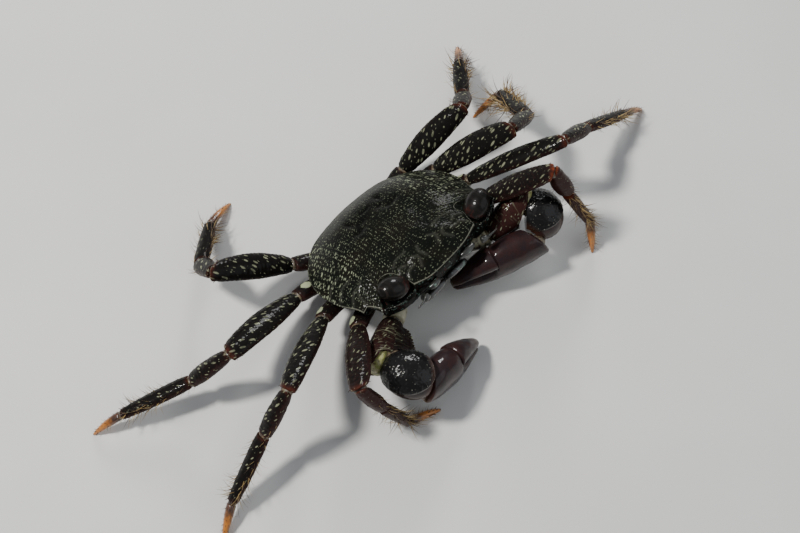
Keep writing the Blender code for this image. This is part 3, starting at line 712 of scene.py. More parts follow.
@dataclass(frozen=True)
class FootFinish:
    """Orange-gold horn of the leg tips, brown at the root and dark at the very point."""

    slot: str = "foot"
    root: tuple = (0.03, 0.014, 0.009)
    gold: tuple = (0.46, 0.165, 0.022)
    point: tuple = (0.05, 0.02, 0.01)

    def build(self) -> Material:
        """Make the material.

        Returns:
            The finished material.
        """
        board = Board("foot_orange_horn")
        place = board.place()
        reach = board.ragged(board.mark("reach"), board.noise(place, 0.7), 0.35)
        colour = board.mix(board.window(reach, 0.12, 0.55), self.root, self.gold)
        streak = board.patch(board.chart(2.5, 0.25), 1.0, 0.45, 0.7, 0.0, 0.5)
        colour = board.mix(streak, colour, (0.22, 0.06, 0.014))
        colour = board.mix(board.window(reach, 0.93, 1.02), colour, self.point)
        normal = board.bump(board.noise(board.chart(1.5, 0.12), 1.0), 0.03)
        return board.finish(colour, 0.34, normal, (0.4, 0.1))


@dataclass(frozen=True)
class EyeFinish:
    """Near-black cornea with faint rings on a dark, red-streaked stalk."""

    slot: str = "eye"
    cornea: tuple = (0.0055, 0.0048, 0.0042)
    ring: tuple = (0.03, 0.022, 0.018)
    stalk: tuple = (0.009, 0.0075, 0.0065)
    red: tuple = (0.03, 0.0095, 0.0075)
    pale: tuple = (0.16, 0.17, 0.13)

    def build(self) -> Material:
        """Make the material.

        Returns:
            The finished material.
        """
        board = Board("eye_dark_ringed")
        place = board.place()
        stalk = board.mix(board.patch(place, 1.2, 0.48, 0.64), self.stalk, self.red)
        dots = board.spots(board.place_cells(0.6), 0.2, 0.5, 0.9, False)
        stalk = board.mix(dots, stalk, self.pale)
        rings = board.sums("SINE", board.times(board.mark("axis"), 46.0))
        faint = board.times(board.window(rings, 0.2, 1.0),
                           board.window(board.mark("axis"), 0.08, 0.3, 0.75, 0.15))
        cornea = board.mix(faint, self.cornea, self.ring)
        colour = board.mix(board.mark("cornea"), stalk, cornea)
        normal = board.bump(board.noise(place, 0.35, 2.0), 0.03)
        return board.finish(colour, 0.4, normal, (0.55, 0.1, 1.33), 0.08)


@dataclass(frozen=True)
class MembraneFinish:
    """Soft yellow-green skin that shows in the joints."""

    slot: str = "belly"
    name: str = "joint_skin_yellow_green"
    green: tuple = (0.25, 0.27, 0.065)
    cream: tuple = (0.40, 0.37, 0.20)
    brown: tuple = (0.06, 0.03, 0.018)

    def build(self) -> Material:
        """Make the material.

        Returns:
            The finished material.
        """
        board = Board(self.name)
        place = board.place()
        colour = board.mix(board.patch(place, 1.0, 0.35, 0.65), self.green, self.cream)
        colour = board.mix(board.patch(place, 0.45, 0.54, 0.64, 0.0, 0.8), colour, self.brown)
        normal = board.bump(board.noise(place, 0.3), 0.05)
        return board.finish(colour, 0.4, normal, (0.3,), **{"Subsurface Weight": 0.15,
                                                              "Subsurface Radius": (0.001, 0.0008, 0.0004)})


@dataclass(frozen=True)
class BellyFinish:
    """Pale cream underside, browner towards its edges, faintly speckled."""

    slot: str = "belly"
    cream: tuple = (0.38, 0.36, 0.235)
    olive: tuple = (0.17, 0.18, 0.105)
    brown: tuple = (0.05, 0.025, 0.017)

    def build(self) -> Material:
        """Make the material.

        Returns:
            The finished material.
        """
        board = Board("belly_cream")
        place = board.place()
        colour = board.mix(board.patch(place, 2.6, 0.45, 0.65), self.cream, self.olive)
        edge = board.window(board.ragged(board.mark("edge"), board.noise(place, 0.9)), 0.45, 0.75)
        colour = board.mix(edge, colour, self.brown)
        dots = board.spots(board.chart(0.8, 0.8), 0.22, 0.5)
        colour = board.mix(dots, colour, (0.12, 0.08, 0.05))
        normal = board.bump(board.noise(place, 0.4), 0.03)
        return board.finish(colour, 0.38, normal, (0.35, 0.12))


@dataclass(frozen=True)
class MouthFinish:
    """Grey-green and aqua plates of the face with red-purple streaks."""

    slot: str = "mouth"
    grey: tuple = (0.018, 0.019, 0.016)
    aqua: tuple = (0.11, 0.165, 0.135)
    red: tuple = (0.06, 0.014, 0.017)

    def build(self) -> Material:
        """Make the material.

        Returns:
            The finished material.
        """
        board = Board("mouth_grey_green")
        place = board.place()
        colour = board.mix(board.patch(place, 1.3, 0.56, 0.63), self.grey, self.aqua)
        colour = board.mix(board.patch(board.chart(3.0, 0.6), 1.0, 0.55, 0.66), colour, self.red)
        normal = board.bump(board.noise(place, 0.3), 0.03)
        return board.finish(colour, 0.3, normal, (0.6, 0.07))


@dataclass(frozen=True)
class BristleFinish:
    """Stiff bristles from brown to pale straw."""

    slot: str = "foot"
    brown: tuple = (0.06, 0.03, 0.013)
    straw: tuple = (0.42, 0.29, 0.11)

    def build(self) -> Material:
        """Make the material.

        Returns:
            The finished material.
        """
        board = Board("bristle_straw")
        colour = board.mix(board.window(board.mark("shade"), 0.15, 0.85), self.brown, self.straw)
        colour = board.mix(board.patch(board.place(), 0.6, 0.4, 0.7, 0.0, 0.3), colour, self.brown)
        return board.finish(colour, 0.42)


@dataclass(frozen=True)
class BeadFinish:
    """Small glassy pale granules along rims and ridges."""

    slot: str = "shell"
    pale: tuple = (0.36, 0.37, 0.31)
    dark: tuple = (0.045, 0.05, 0.042)

    def build(self) -> Material:
        """Make the material.

        Returns:
            The finished material.
        """
        board = Board("granule_pale")
        colour = board.mix(board.patch(board.place(), 0.7, 0.4, 0.6), self.dark, self.pale)
        return board.finish(colour, 0.22, None, (0.8, 0.05))


class Palette:
    """Every finish of the crab, each material made once."""

    def __init__(self) -> None:
        """Make the materials."""
        finishes = {"shell": ShellFinish(), "limb_right": LimbFinish(), "claw": ClawFinish(),
                    "limb_left": LimbFinish(name="limb_left_wet_black_brown", slant_deg=-27.0),
                    "foot": FootFinish(), "eye": EyeFinish(), "skin": MembraneFinish(),
                    "dark_skin": MembraneFinish(name="joint_skin_brown", green=(0.03, 0.02, 0.012),
                                                cream=(0.16, 0.12, 0.07), brown=(0.012, 0.007, 0.005)),
                    "belly": BellyFinish(), "mouth": MouthFinish(), "bristle": BristleFinish(),
                    "bead": BeadFinish()}
        self.slots = {key: finish.slot for key, finish in finishes.items()}
        self.materials = {key: finish.build() for key, finish in finishes.items()}


class Workshop:
    """Places finished pieces in the scene and hides the imported solids that each stands for."""

    def __init__(self, palette: Palette) -> None:
        """Keep the palette."""
        self.palette = palette
        self.count = 0

    def add(self, name: str, mesh: Mesh, finish: str, *nodes: str) -> bpy.types.Object:
        """Add one piece.

        Args:
            name: Name of the piece.
            mesh: Its mesh, in place.
            finish: Key of its finish.
            *nodes: CAD nodes that it stands for.

        Returns:
            The new object.
        """
        mesh.name = name
        mesh.materials.clear()
        mesh.materials.append(self.palette.materials[finish])
        made = bpy.data.objects.new(name, mesh)
        bpy.context.scene.collection.objects.link(made)
        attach(made, "root")
        if nodes:
            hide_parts(*nodes)
        self.count += 1
        log.info("%s: %d faces, %s", name, len(mesh.polygons), finish)
        return made

    def add_skin(self, name: str, skin: Skin, finish: str, *nodes: str) -> bpy.types.Object:
        """Add a skin as one piece."""
        return self.add(name, skin.build(name), finish, *nodes)

    def add_joined(self, name: str, skins: list[Skin], finish: str, *nodes: str) -> bpy.types.Object:
        """Add several skins as one piece."""
        return self.add(name, joined([skin.build(name) for skin in skins]), finish, *nodes)


def joined(meshes: list[Mesh]) -> Mesh:
    """One mesh of several, with the maps and marks of the first.

    Args:
        meshes: The meshes, which are used up.

    Returns:
        The joined mesh.
    """
    work = bmesh.new()
    for mesh in meshes:
        work.from_mesh(mesh)
    made = meshes[0].copy()
    work.to_mesh(made)
    work.free()
    for mesh in meshes:
        bpy.data.meshes.remove(mesh)
    return made


# Growth on skins.


@dataclass
class GrowthTree(Nodes):
    """Geometry Nodes tree that sets bristles, spines or granules on a guide mesh."""

    kind: Growth
    ball: bool = False
    inputs: dict[str, str] = field(default_factory=dict)

    def build(self) -> bpy.types.NodeTree:
        """Make the node tree.

        Returns:
            The tree.
        """
        self.tree = bpy.data.node_groups.new("growth", "GeometryNodeTree")
        face = self.tree.interface
        face.new_socket(name="Geometry", in_out="OUTPUT", socket_type="NodeSocketGeometry")
        face.new_socket(name="Geometry", in_out="INPUT", socket_type="NodeSocketGeometry")
        for name, kind in (("Amount", "Float"), ("Length", "Float"), ("Radius", "Float"),
                           ("Bend", "Float"), ("Spread", "Float"), ("Seed", "Int"),
                           ("Finish", "Material")):
            socket = face.new_socket(name=name, in_out="INPUT", socket_type="NodeSocket" + kind)
            self.inputs[name] = socket.identifier
        given = self.node("NodeGroupInput")
        placed = self.instances(given, self.guide_points(given))
        real = self.node("GeometryNodeRealizeInstances", {"Geometry": placed})[0]
        shaded = self.node("GeometryNodeSetShadeSmooth", {"Geometry": self.patch_chart(real)})[0]
        painted = self.node("GeometryNodeSetMaterial", {"Geometry": shaded, "Material": given["Finish"]})[0]
        self.node("NodeGroupOutput", {"Geometry": painted})
        return self.tree

    def named(self, name: str, kind: str = "FLOAT") -> Socket:
        """Value of a named attribute."""
        return self.node("GeometryNodeInputNamedAttribute", {"Name": name}, data_type=kind)["Attribute"]

    def chance(self, low: float, high: float, seed: Socket, extra: int) -> Socket:
        """A random number from low to high for each point."""
        return self.node("FunctionNodeRandomValue", {2: low, 3: high, "Seed": self.sums("ADD", seed, extra)},
                         data_type="FLOAT")[1]

    def store(self, geometry: Socket, name: str, kind: str, value: Socket, domain: str) -> Socket:
        """Geometry with a field stored under a name."""
        inputs = {"Geometry": geometry, "Name": name, "Value": value}
        return self.node("GeometryNodeStoreNamedAttribute", inputs, data_type=kind, domain=domain)[0]

    def guide_points(self, given: bpy.types.NodeOutputs) -> Socket:
        """Points of the guide that carry a form each.

        Args:
            given: The tree's inputs.

        Returns:
            The points.
        """
        if self.kind is Growth.STUDS:
            return self.node("GeometryNodeMeshToPoints", {"Mesh": given["Geometry"]})["Points"]
        density = self.times(self.named("hair"), given["Amount"])
        return self.node("GeometryNodeDistributePointsOnFaces",
                         {"Mesh": given["Geometry"], "Density": density, "Seed": given["Seed"]},
                         distribute_method="RANDOM")["Points"]

    def form(self, given: bpy.types.NodeOutputs) -> Socket:
        """One bristle, spine or granule standing on the origin.

        Args:
            given: The tree's inputs.

        Returns:
            The form, with its leaf of the map.
        """
        radius, length = given["Radius"], given["Length"]
        if self.ball:
            made = self.node("GeometryNodeMeshIcoSphere", {"Subdivisions": 2, "Radius": radius})
        else:
            made = self.node("GeometryNodeMeshCone", {
                "Vertices": 5, "Side Segments": 4, "Radius Top": self.times(radius, 0.12),
                "Radius Bottom": radius, "Depth": length})
        place = self.node("ShaderNodeSeparateXYZ", {0: self.node("GeometryNodeInputPosition")[0]})
        share = self.sums("DIVIDE", place["Z"], length)
        curl = self.times(self.times(share, share), given["Bend"])
        shift = self.node("ShaderNodeCombineXYZ", {"X": curl})[0]
        bent = self.node("GeometryNodeSetPosition", {"Geometry": made["Mesh"], "Offset": shift})[0]
        turn = self.sums("ARCTAN2", place["Y"], place["X"])
        leaf = self.node("ShaderNodeCombineXYZ", {"X": self.times(turn, 0.0004),
                                                  "Y": self.times(share, 0.0025)})[0]
        return self.store(bent, "leaf", "FLOAT_VECTOR", leaf, "POINT")

    def instances(self, given: bpy.types.NodeOutputs, points: Socket) -> Socket:
        """The form on every point, leaning the marked way, at uneven sizes.

        Args:
            given: The tree's inputs.
            points: The points.

        Returns:
            The instances.
        """
        seed = given["Seed"]
        stray = {axis: self.times(self.chance(-1.0, 1.0, seed, extra), given["Spread"])
                 for extra, axis in enumerate("XYZ")}
        aim = self.node("ShaderNodeVectorMath", {0: self.named("way", "FLOAT_VECTOR"),
                                                 1: self.node("ShaderNodeCombineXYZ", stray)[0]},
                        operation="ADD")[0]
        turn = self.node("FunctionNodeAlignRotationToVector", {"Vector": aim}, axis="Z")[0]
        size = self.times(self.named("size"), self.chance(0.65, 1.1, seed, 7))
        scale = self.node("ShaderNodeCombineXYZ", dict.fromkeys("XYZ", size))[0]
        shade = self.store(points, "shade", "FLOAT", self.chance(0.0, 1.0, seed, 9), "POINT")
        return self.node("GeometryNodeInstanceOnPoints", {"Points": shade, "Instance": self.form(given),
                                                          "Rotation": turn, "Scale": scale})[0]

    def patch_chart(self, geometry: Socket) -> Socket:
        """Forms, each with a small patch of the map at its root's place.

        Args:
            geometry: The forms.

        Returns:
            The forms with their map.
        """
        root, leaf = (self.named(name, "FLOAT_VECTOR") for name in ("root", "leaf"))
        total = self.node("ShaderNodeVectorMath", {0: root, 1: leaf}, operation="ADD")[0]
        return self.store(geometry, "OFBake", "FLOAT2", total, "CORNER")


@dataclass
class Coat:
    """Grows forms on skins and returns them as a plain mesh."""

    trees: dict[tuple[Growth, bool], GrowthTree] = field(default_factory=dict)

    def tree(self, kind: Growth, ball: bool) -> GrowthTree:
        """The tree of one kind, made once.

        Args:
            kind: How forms are placed.
            ball: True for granules.

        Returns:
            The tree.
        """
        if (kind, ball) not in self.trees:
            made = GrowthTree(kind, ball)
            made.group = made.build()
            self.trees[(kind, ball)] = made
        return self.trees[(kind, ball)]

    def grow(self, name: str, guide: Mesh, finish: Material, kind: Growth,
             ball: bool = False, **sizes: float) -> Mesh:
        """Grow forms on a guide mesh.

        Args:
            name: Name of the result.
            guide: Mesh with the marks way, size, root and, where scattered, hair.
            finish: Material of the forms.
            kind: How the forms are placed.
            ball: True for granules, False for bristles and spines.
            **sizes: Named inputs of the tree, lengths in metres.

        Returns:
            Mesh of the forms alone, bent along the floor where they would pass below it.
        """
        tree = self.tree(kind, ball)
        holder = bpy.data.objects.new(name + "_guide", guide)
        bpy.context.scene.collection.objects.link(holder)
        step = holder.modifiers.new("growth", "NODES")
        step.node_group = tree.group
        for key, value in sizes.items():
            step[tree.inputs[key]] = value
        step[tree.inputs["Finish"]] = finish
        graph = bpy.context.evaluated_depsgraph_get()
        made = bpy.data.meshes.new_from_object(holder.evaluated_get(graph))
        holder.modifiers.remove(step)
        bpy.data.objects.remove(holder, do_unlink=True)
        spots = np.empty(len(made.vertices) * 3, np.float32)
        made.vertices.foreach_get("co", spots)
        spots[2::3] = np.maximum(spots[2::3], FLOOR_CLEARANCE)
        made.vertices.foreach_set("co", spots)
        for spare in ("leaf", "root", "way", "size", "hair"):
            if spare in made.attributes:
                made.attributes.remove(made.attributes[spare])
        return made


def point_guide(points: Array, ways: Array, sizes: Array) -> Mesh:
    """Mesh of loose points that carries one form on each.

    Args:
        points: Positions in mm before the slide over the origin.
        ways: Direction of each form.
        sizes: Size factor of each form.

    Returns:
        The guide mesh.
    """
    mesh = bpy.data.meshes.new("points")
    mesh.from_pydata(((points + np.array(CENTRE_SHIFT)) * MM).tolist(), [], [])
    share = (np.arange(len(points)) + 0.5) / len(points)
    root = np.stack((share, np.full(len(points), 0.5), np.zeros(len(points))), axis=1)
    for key, values in (("way", ways), ("root", root)):
        made = mesh.attributes.new(key, "FLOAT_VECTOR", "POINT")
        made.data.foreach_set("vector", np.asarray(values, np.float32).reshape(-1))
    made = mesh.attributes.new("size", "FLOAT", "POINT")
    made.data.foreach_set("value", np.asarray(sizes, np.float32))
    return mesh


def coat_guide(skins: list[Skin]) -> Mesh:
    """Skins joined as a guide for bristles, each in its own strip of the map.

    Args:
        skins: Skins with the marks hair, way and size.

    Returns:
        The guide mesh.
    """
    meshes = []
    for index, skin in enumerate(skins):
        rings, sides = skin.grid.shape[:2]
        along, around = np.meshgrid(np.linspace(0.02, 0.98, rings), np.linspace(0.02, 0.98, sides),
                                    indexing="ij")
        skin.marks["root"] = np.stack(((index + around) / len(skins), along, along * 0), axis=2)
        meshes.append(skin.build("guide"))
    return joined(meshes)


# The crab.


@dataclass
class Carapace:
    """The back shell with its folded-under walls and the mouth frame."""

    crown_z: float = 1.1
    centre: tuple = (0.0, -1.0)
    floor_z: float = -6.8
    rings: int = 117
    front: tuple = ((-3.6, -16.9, -3.0), (0.0, -17.1, -3.1), (3.6, -16.9, -3.0), (6.9, -15.9, -2.6))
    orbit: tuple = ((6.9, -15.9, -2.6), (7.3, -13.4, -1.6), (8.2, -11.2, -0.8), (10.1, -10.3, -0.6),
                    (12.3, -10.9, -1.1), (13.2, -12.6, -2.0), (14.7, -14.4, -2.8))
    shelf: tuple = ((6.9, -15.9, -2.6), (7.7, -16.2, -3.4), (10.6, -15.6, -4.0), (12.6, -14.8, -3.9),
                    (13.6, -14.3, -3.6), (14.7, -14.4, -2.8))
    notch: tuple = ((14.7, -14.4, -2.8), (15.6, -12.2, -2.6), (16.0, -11.4, -2.7))
    tooth: tuple = ((16.0, -11.4, -2.7), (17.3, -11.6, -3.1))
    side: tuple = ((17.3, -11.6, -3.1), (17.5, -9.9, -3.0), (18.6, -6.2, -3.2), (19.0, -2.0, -3.4),
                   (18.3, 2.6, -3.8), (16.3, 6.8, -4.2), (12.9, 10.4, -4.6), (8.6, 12.9, -4.9),
                   (0.0, 14.0, -5.0), (-8.6, 12.9, -4.9))
    walls: tuple = ((1.0, 0.0, 0.0), (0.975, -0.7, 0.0), (0.9, -1.4, -0.3), (0.72, -2.2, -0.8),
                    (0.45, -2.7, -0.8), (0.2, -2.9, -0.8))
    # Low swellings and hollows of the back: x, y, radius, height.
    relief: tuple = ((0.0, -6.0, 5.0, 0.35), (2.9, -13.4, 1.7, 0.45), (7.6, -10.0, 2.1, 0.4),
                     (11.0, -1.0, 4.6, 0.35), (0.0, 6.6, 3.2, 0.4), (6.2, -5.2, 1.6, -0.35),
                     (0.0, -13.6, 0.8, -0.35), (9.0, 8.0, 4.0, 0.25), (5.6, 6.6, 2.4, 0.2))
    # Hollows either side of the middle, darkened with painted shade: x, y, half sizes, depth.
    grooves: tuple = ((4.5, 1.1, 1.8, 0.9, 0.55), (2.6, 2.6, 1.3, 0.9, 0.45), (4.2, 4.6, 0.8, 1.6, 0.35),
                      (0.0, 4.2, 1.6, 0.5, 0.2))
    # Fine raised lines behind the eyes: (x, y) stations.
    ridges: tuple = (((7.0, -10.9), (5.4, -10.3), (3.2, -10.6)), ((6.6, -14.6), (5.6, -13.6), (4.0, -13.6)),
                     ((15.6, -11.0), (15.2, -8.6), (13.0, -7.2)), ((3.2, -14.8), (2.5, -13.4), (3.3, -12.3)),
                     ((5.2, -12.4), (6.2, -11.9), (7.0, -12.6)), ((1.3, -14.0), (1.7, -12.7), (1.2, -11.6)),
                     ((17.4, -8.8), (15.6, -7.4), (13.6, -7.6)), ((18.0, -5.6), (16.0, -4.5), (14.0, -4.9)),
                     ((18.4, -2.8), (16.5, -1.9), (14.8, -2.3)))
    frame_section: tuple = ((-9.9, -6.2), (-12.5, -5.0), (-16.0, -4.6), (-16.3, -5.6), (-15.7, -6.7),
                            (-13.9, -8.4), (-12.2, -9.6), (-10.6, -9.3))
    frame_stations: tuple = ((-10.2, 0.45), (-8.4, 0.78), (-6.2, 0.97), (-3.0, 1.0), (0.0, 1.0), (3.0, 1.0),
                             (6.2, 0.97), (8.4, 0.78), (10.2, 0.45))
    frame_centre: tuple = (-12.9, -5.6)
    # Rows of granules under the eyes: offset from the shelf, size factor.
    bead_rows: tuple = (((0.0, 0.05, -0.15), 1.0), ((0.0, 0.25, -0.8), 0.8), ((0.0, 0.5, -1.5), 0.7),
                        ((0.0, 0.7, -2.1), 0.6))

    def outline(self, shelf: bool) -> Array:
        """Closed outline, left half then right half back to the front.

        Args:
            shelf: True to run under the eyes, False over the orbits.

        Returns:
            Array of points (body frame, mm).
        """
        front = curve_through(self.front, 91)[30:]
        socket = curve_through(self.shelf if shelf else self.orbit, 70)
        rear = curve_through(self.side, 170)
        rear = rear[:int(np.argmin(np.abs(rear[:, 0]))) + 1]
        rear[-1, 0] = 0.0
        parts = [front[:-1], socket[:-1], curve_through(self.notch, 16)[:-1],
                 curve_through(self.tooth, 10)[:-1], rear]
        half = np.concatenate(parts)
        half[0, 0] = 0.0
        return np.concatenate((half, half[-2:0:-1] * np.array((-1, 1, 1))))

    def calmed(self, rim: Array) -> Array:
        """Smooth outline lying inside the rim, which the inner rings of the back follow.

        Args:
            rim: The true outline.

        Returns:
            The smooth outline, point for point.
        """
        weights = np.exp(-(np.arange(-60, 61) / 24) ** 2)
        weights /= weights.sum()
        centre = np.array(self.centre)
        reach = np.linalg.norm(rim[:, :2] - centre, axis=1)
        least = np.min([np.roll(reach, k) for k in range(-16, 17)], axis=0)
        smooth = sum(w * np.roll(rim, k, axis=0) for k, w in zip(range(-60, 61), weights))
        least = sum(w * np.roll(least, k) for k, w in zip(range(-60, 61), weights))
        way = smooth[:, :2] - centre
        way /= np.linalg.norm(way, axis=1, keepdims=True)
        flat = centre + way * np.minimum(least, reach)[:, None]
        return np.concatenate((flat, smooth[:, 2:]), axis=1)

    def swellings(self, x: Array, y: Array) -> Array:
        """Height of the swellings and hollows of the back.

        Args:
            x: Places across the body.
            y: Places along it.

        Returns:
            Height at each place (mm).
        """
        total = np.zeros_like(x)
        for centre_x, centre_y, radius, height in self.relief:
            for sign in ((1, -1) if centre_x else (1,)):
                total += height * np.exp(-((x - sign * centre_x) ** 2 + (y - centre_y) ** 2) / radius ** 2)
        return total

    def hollow(self, x: Array, y: Array) -> tuple[Array, Array]:
        """Depth of the hollows and how strongly painted shade darkens them.

        Args:
            x: Places across the body.
            y: Places along it.

        Returns:
            Depth (mm) and strength of the painted shade at each place.
        """
        depth, dark = np.zeros_like(x), np.zeros_like(x)
        for centre_x, centre_y, wide, deep, drop in self.grooves:
            for sign in ((1, -1) if centre_x else (1,)):
                near = np.exp(-((x - sign * centre_x) / wide) ** 2 - ((y - centre_y) / deep) ** 2)
                depth += drop * near
                dark = np.maximum(dark, near)
        return depth, dark

    def ridge_lines(self, x: Array, y: Array) -> Array:
        """How close each point is to a fine raised line, 1 on it.

        Args:
            x: Places across the body.
            y: Places along it.

        Returns:
            Nearness at each place.
        """
        near = np.zeros_like(x)
        for stations in self.ridges:
            line = curve_through(tuple((*p, 0.0) for p in stations), 24)
            for px, py, _ in line:
                spread = np.minimum((np.abs(x) - px) ** 2 + (y - py) ** 2, 4.0)
                near = np.maximum(near, np.exp(-spread / 0.07))
        return near

    def rows(self, x: Array, y: Array) -> Array:
        """Coordinate that counts the oblique rows, in mm across them."""
        return y + 0.7 * np.maximum(0.0, np.abs(x) - 4.0) - 0.012 * x * x

    def surface(self) -> Skin:
        """The whole shell as one closed skin with its marks.

        Returns:
            The skin.
        """
        rim, shelf = self.outline(False), self.outline(True)
        centre = np.array(self.centre)
        near = np.sin(np.linspace(0, 1, self.rings)[1:] * math.pi / 2)[:, None]
        calm = self.calmed(rim)
        x, y = ((calm[:, k] + (rim - calm)[:, k] * near ** 7) for k in (0, 1))
        z = calm[:, 2] + (rim - calm)[:, 2] * near ** 9
        steep = 3.0 + 0.2 * step_between(-5.0, -11.0, calm[:, 1]) - 0.05 * np.maximum(0.0, calm[:, 1])
        px = centre[0] + near * (x - centre[0])
        py = centre[1] + near * (y - centre[1])
        fade = 1 - near ** 6
        pz = self.crown_z + (z - self.crown_z) * near ** steep + self.swellings(px, py) * fade
        depth, dark = self.hollow(px, py)
        lines = self.ridge_lines(px, py)
        rows = self.rows(px, py)
        wave = np.mod(rows / 0.78, 1.0)
        scales = (wave ** 2 - 0.35) * step_between(0.1, 0.3, near)
        broken = 0.5 + 0.5 * ripple(np.stack((px, py, pz), axis=2), 2.2, 3)
        pz = pz - depth + 0.11 * lines + 0.06 * scales * np.clip(broken, 0.1, 1) * (1 - lines)
        bead = np.exp(-((near - 0.9925) / 0.0035) ** 2)
        ahead = step_between(-4.0, -9.0, rim[:, 1])[None, :]
        pz = pz + 0.13 * bead * (0.35 + 0.65 * ahead)
        top = np.stack((px, py, pz), axis=2)
        top[-1] = rim
        under = self.under(rim, shelf)
        grid = np.concatenate((top, under))
        below = np.concatenate((np.zeros(len(top)), np.ones(len(under))))[:, None] + 0 * grid[..., 0]
        margin = np.zeros_like(below)
        margin[:len(top)] = np.exp(-((near - 0.994) / 0.0028) ** 2) * (0.2 + 0.8 * ahead) * 0.8
        # The fine ridges get a faint pale paint that stands for painted glints.
        margin[:len(top)] = np.maximum(margin[:len(top)], lines * 0.12)
        groove = np.zeros_like(below)
        # Painted shade in the hollows.
        groove[:len(top)] = dark * 0.9
        lateral = step_between(4.0, 14.0, np.abs(grid[..., 0])) * step_between(-15, 3, grid[..., 1])
        chart = np.stack((grid[..., 0], self.rows(grid[..., 0], grid[..., 1])), axis=2)
        chart[len(top):, :, 1] += grid[len(top):, :, 2]
        marks = {"under": below, "margin": margin, "groove": groove, "lateral": lateral}
        return Skin(to_world(left_reach(grid)), marks, chart)

    def under(self, rim: Array, shelf: Array) -> Array:
        """Rings from the rim through the eye sockets and down the walls to the floor of the shell.

        Args:
            rim: Outline over the orbits.
            shelf: Outline under the eyes.

        Returns:
            The rings, top first.
        """
        centre = np.array(self.centre)
        front = np.clip((-shelf[:, 1] - 9) / 5, 0, 1)
        rear = np.clip((8.0 - shelf[:, 1]) / 6, 0, 1)
        levels = np.concatenate((np.linspace(1.0, 0.9, 14), np.linspace(0.88, 0.2, 22)))
        table = smooth_values(tuple((-a, b, c) for a, b, c in self.walls), -levels)
        rings = []
        for level, (drop, more) in zip(levels, table):
            scale = level + (1 - level) * (0.72 if level > 0.6 else 0.35) * front
            xy = centre + scale[:, None] * (shelf[:, :2] - centre)
            here = drop + more * rear
            z = np.maximum(shelf[:, 2] + here + 0.35 * here * front, self.floor_z - 0.25 * front)
            rings.append(np.concatenate((xy, z[:, None]), axis=1))
        apart = np.linalg.norm(rings[0] - rim, axis=1)
        bowl = []
        for t in np.linspace(0, 1, 12, endpoint=False)[1:]:
            ring = rim + (rings[0] - rim) * t
            ring[:, 2] -= 0.9 * math.sin(math.pi * t) * step_between(0.4, 3.0, apart)
            bowl.append(ring)
        return np.array(bowl + rings)

    def mouth_frame(self) -> Skin:
        """The wall folded down under the front, on which the mouth plates lie.

        Returns:
            The skin.
        """
        section = np.array(self.frame_section)
        closed = curve_through(tuple((0.0, *p) for p in np.concatenate((section, section[:1]))), 65)[:-1]
        x = np.linspace(-10.2, 10.2, 61)
        share = smooth_values(self.frame_stations, x)[:, 0]
        centre = np.array(self.frame_centre)
        grid = np.empty((len(x), 64, 3))
        grid[..., 0] = x[:, None]
        grid[..., 1:] = centre + share[:, None, None] * (closed[None, :, 1:] - centre)
        grid[..., 2] += 0.12 * ripple(grid, 2.0, 5)
        marks = {key: np.full(grid.shape[:2], float(key == "under"))
                 for key in ("under", "margin", "groove", "lateral")}
        return Skin(to_world(grid), marks, np.stack((grid[..., 0], grid[..., 2]), axis=2))

    def beads(self) -> tuple[Array, Array]:
        """Granules along the ridge under each eye and along the edge behind it.

        Returns:
            Places (mm) and size factors.
        """
        rng = np.random.default_rng(SEED)
        points, sizes = [], []
        for offset, size in self.bead_rows:
            line = curve_through(self.shelf[1:], 34) + offset
            for sign in (1, -1):
                spots = line * (sign, 1, 1) + rng.normal(scale=0.06, size=line.shape)
                points.append(spots)
                sizes.append(size * rng.uniform(0.6, 1.2, len(spots)))
        return to_world(left_reach(np.concatenate(points))), np.concatenate(sizes)

    def place(self, shop: Workshop, coat: Coat) -> None:
        """Build the shell's pieces.

        Args:
            shop: Takes the pieces.
            coat: Grows the bristles and granules.
        """
        shop.add_joined("carapace_shell", [self.surface(), self.mouth_frame()], "shell", "carapace")
        points, sizes = self.beads()
        guide = point_guide(points, np.tile((0.0, 0.0, 1.0), (len(points), 1)), sizes)
        mesh = coat.grow("face_granules", guide, shop.palette.materials["bead"], Growth.STUDS, True,
                         **GRANULE, Seed=SEED)
        shop.add("face_granules", mesh, "bead")


@dataclass
class Eye:
    """Stalk and cornea of one eye."""

    side: Side
    centre: tuple = (10.3, -13.7, -1.3)
    radii: tuple = (3.4, 2.6, 2.25)
    root: tuple = (7.6, -14.2, -2.5)
    mesh: tuple = (64, 72)

    def surface(self) -> Skin:
        """Closed skin with the cornea marked.

        Returns:
            The skin.
        """
        root, centre = (left_reach(np.array(spot) * self.side.flip) for spot in (self.root, self.centre))
        along = unit(centre - root)
        across = unit(np.cross(along, (0, 0, 1)))
        lift = np.cross(across, along)
        rings, sides = self.mesh
        t = np.linspace(0, 1, rings)
        run = (1 - (1 - t) ** 1.7) * (np.linalg.norm(centre - root) + self.radii[0])
        reach = (run - np.linalg.norm(centre - root)) / self.radii[0]
        ball = np.sqrt(np.clip(1 - np.minimum(reach * reach, 1), 0.0, 1))
        stalk = 0.55 * step_between(0.55, -0.75, reach)
        size = np.maximum(ball, stalk)
        size[-1] = 0.02
        angle = angles(sides)
        offset = (np.cos(angle)[:, None] * across * self.radii[1]
                  + np.sin(angle)[:, None] * lift * self.radii[2])
        grid = root + along * run[:, None, None] + offset[None] * size[:, None, None]
        tilt = unit(along + np.array((0.0, -0.35, 0.1)))
        height = ((grid - centre) @ tilt) / self.radii[0]
        cornea = step_between(-0.12, -0.02, height)
        marks = {"cornea": cornea, "axis": np.arccos(np.clip(height, -1, 1)) / math.pi}
        return Skin(to_world(grid), marks)

    def place(self, shop: Workshop) -> None:
        """Build the eye."""
        shop.add_skin(f"eyeball_{self.side.word}", self.surface(), "eye", f"eye_{self.side.word}")


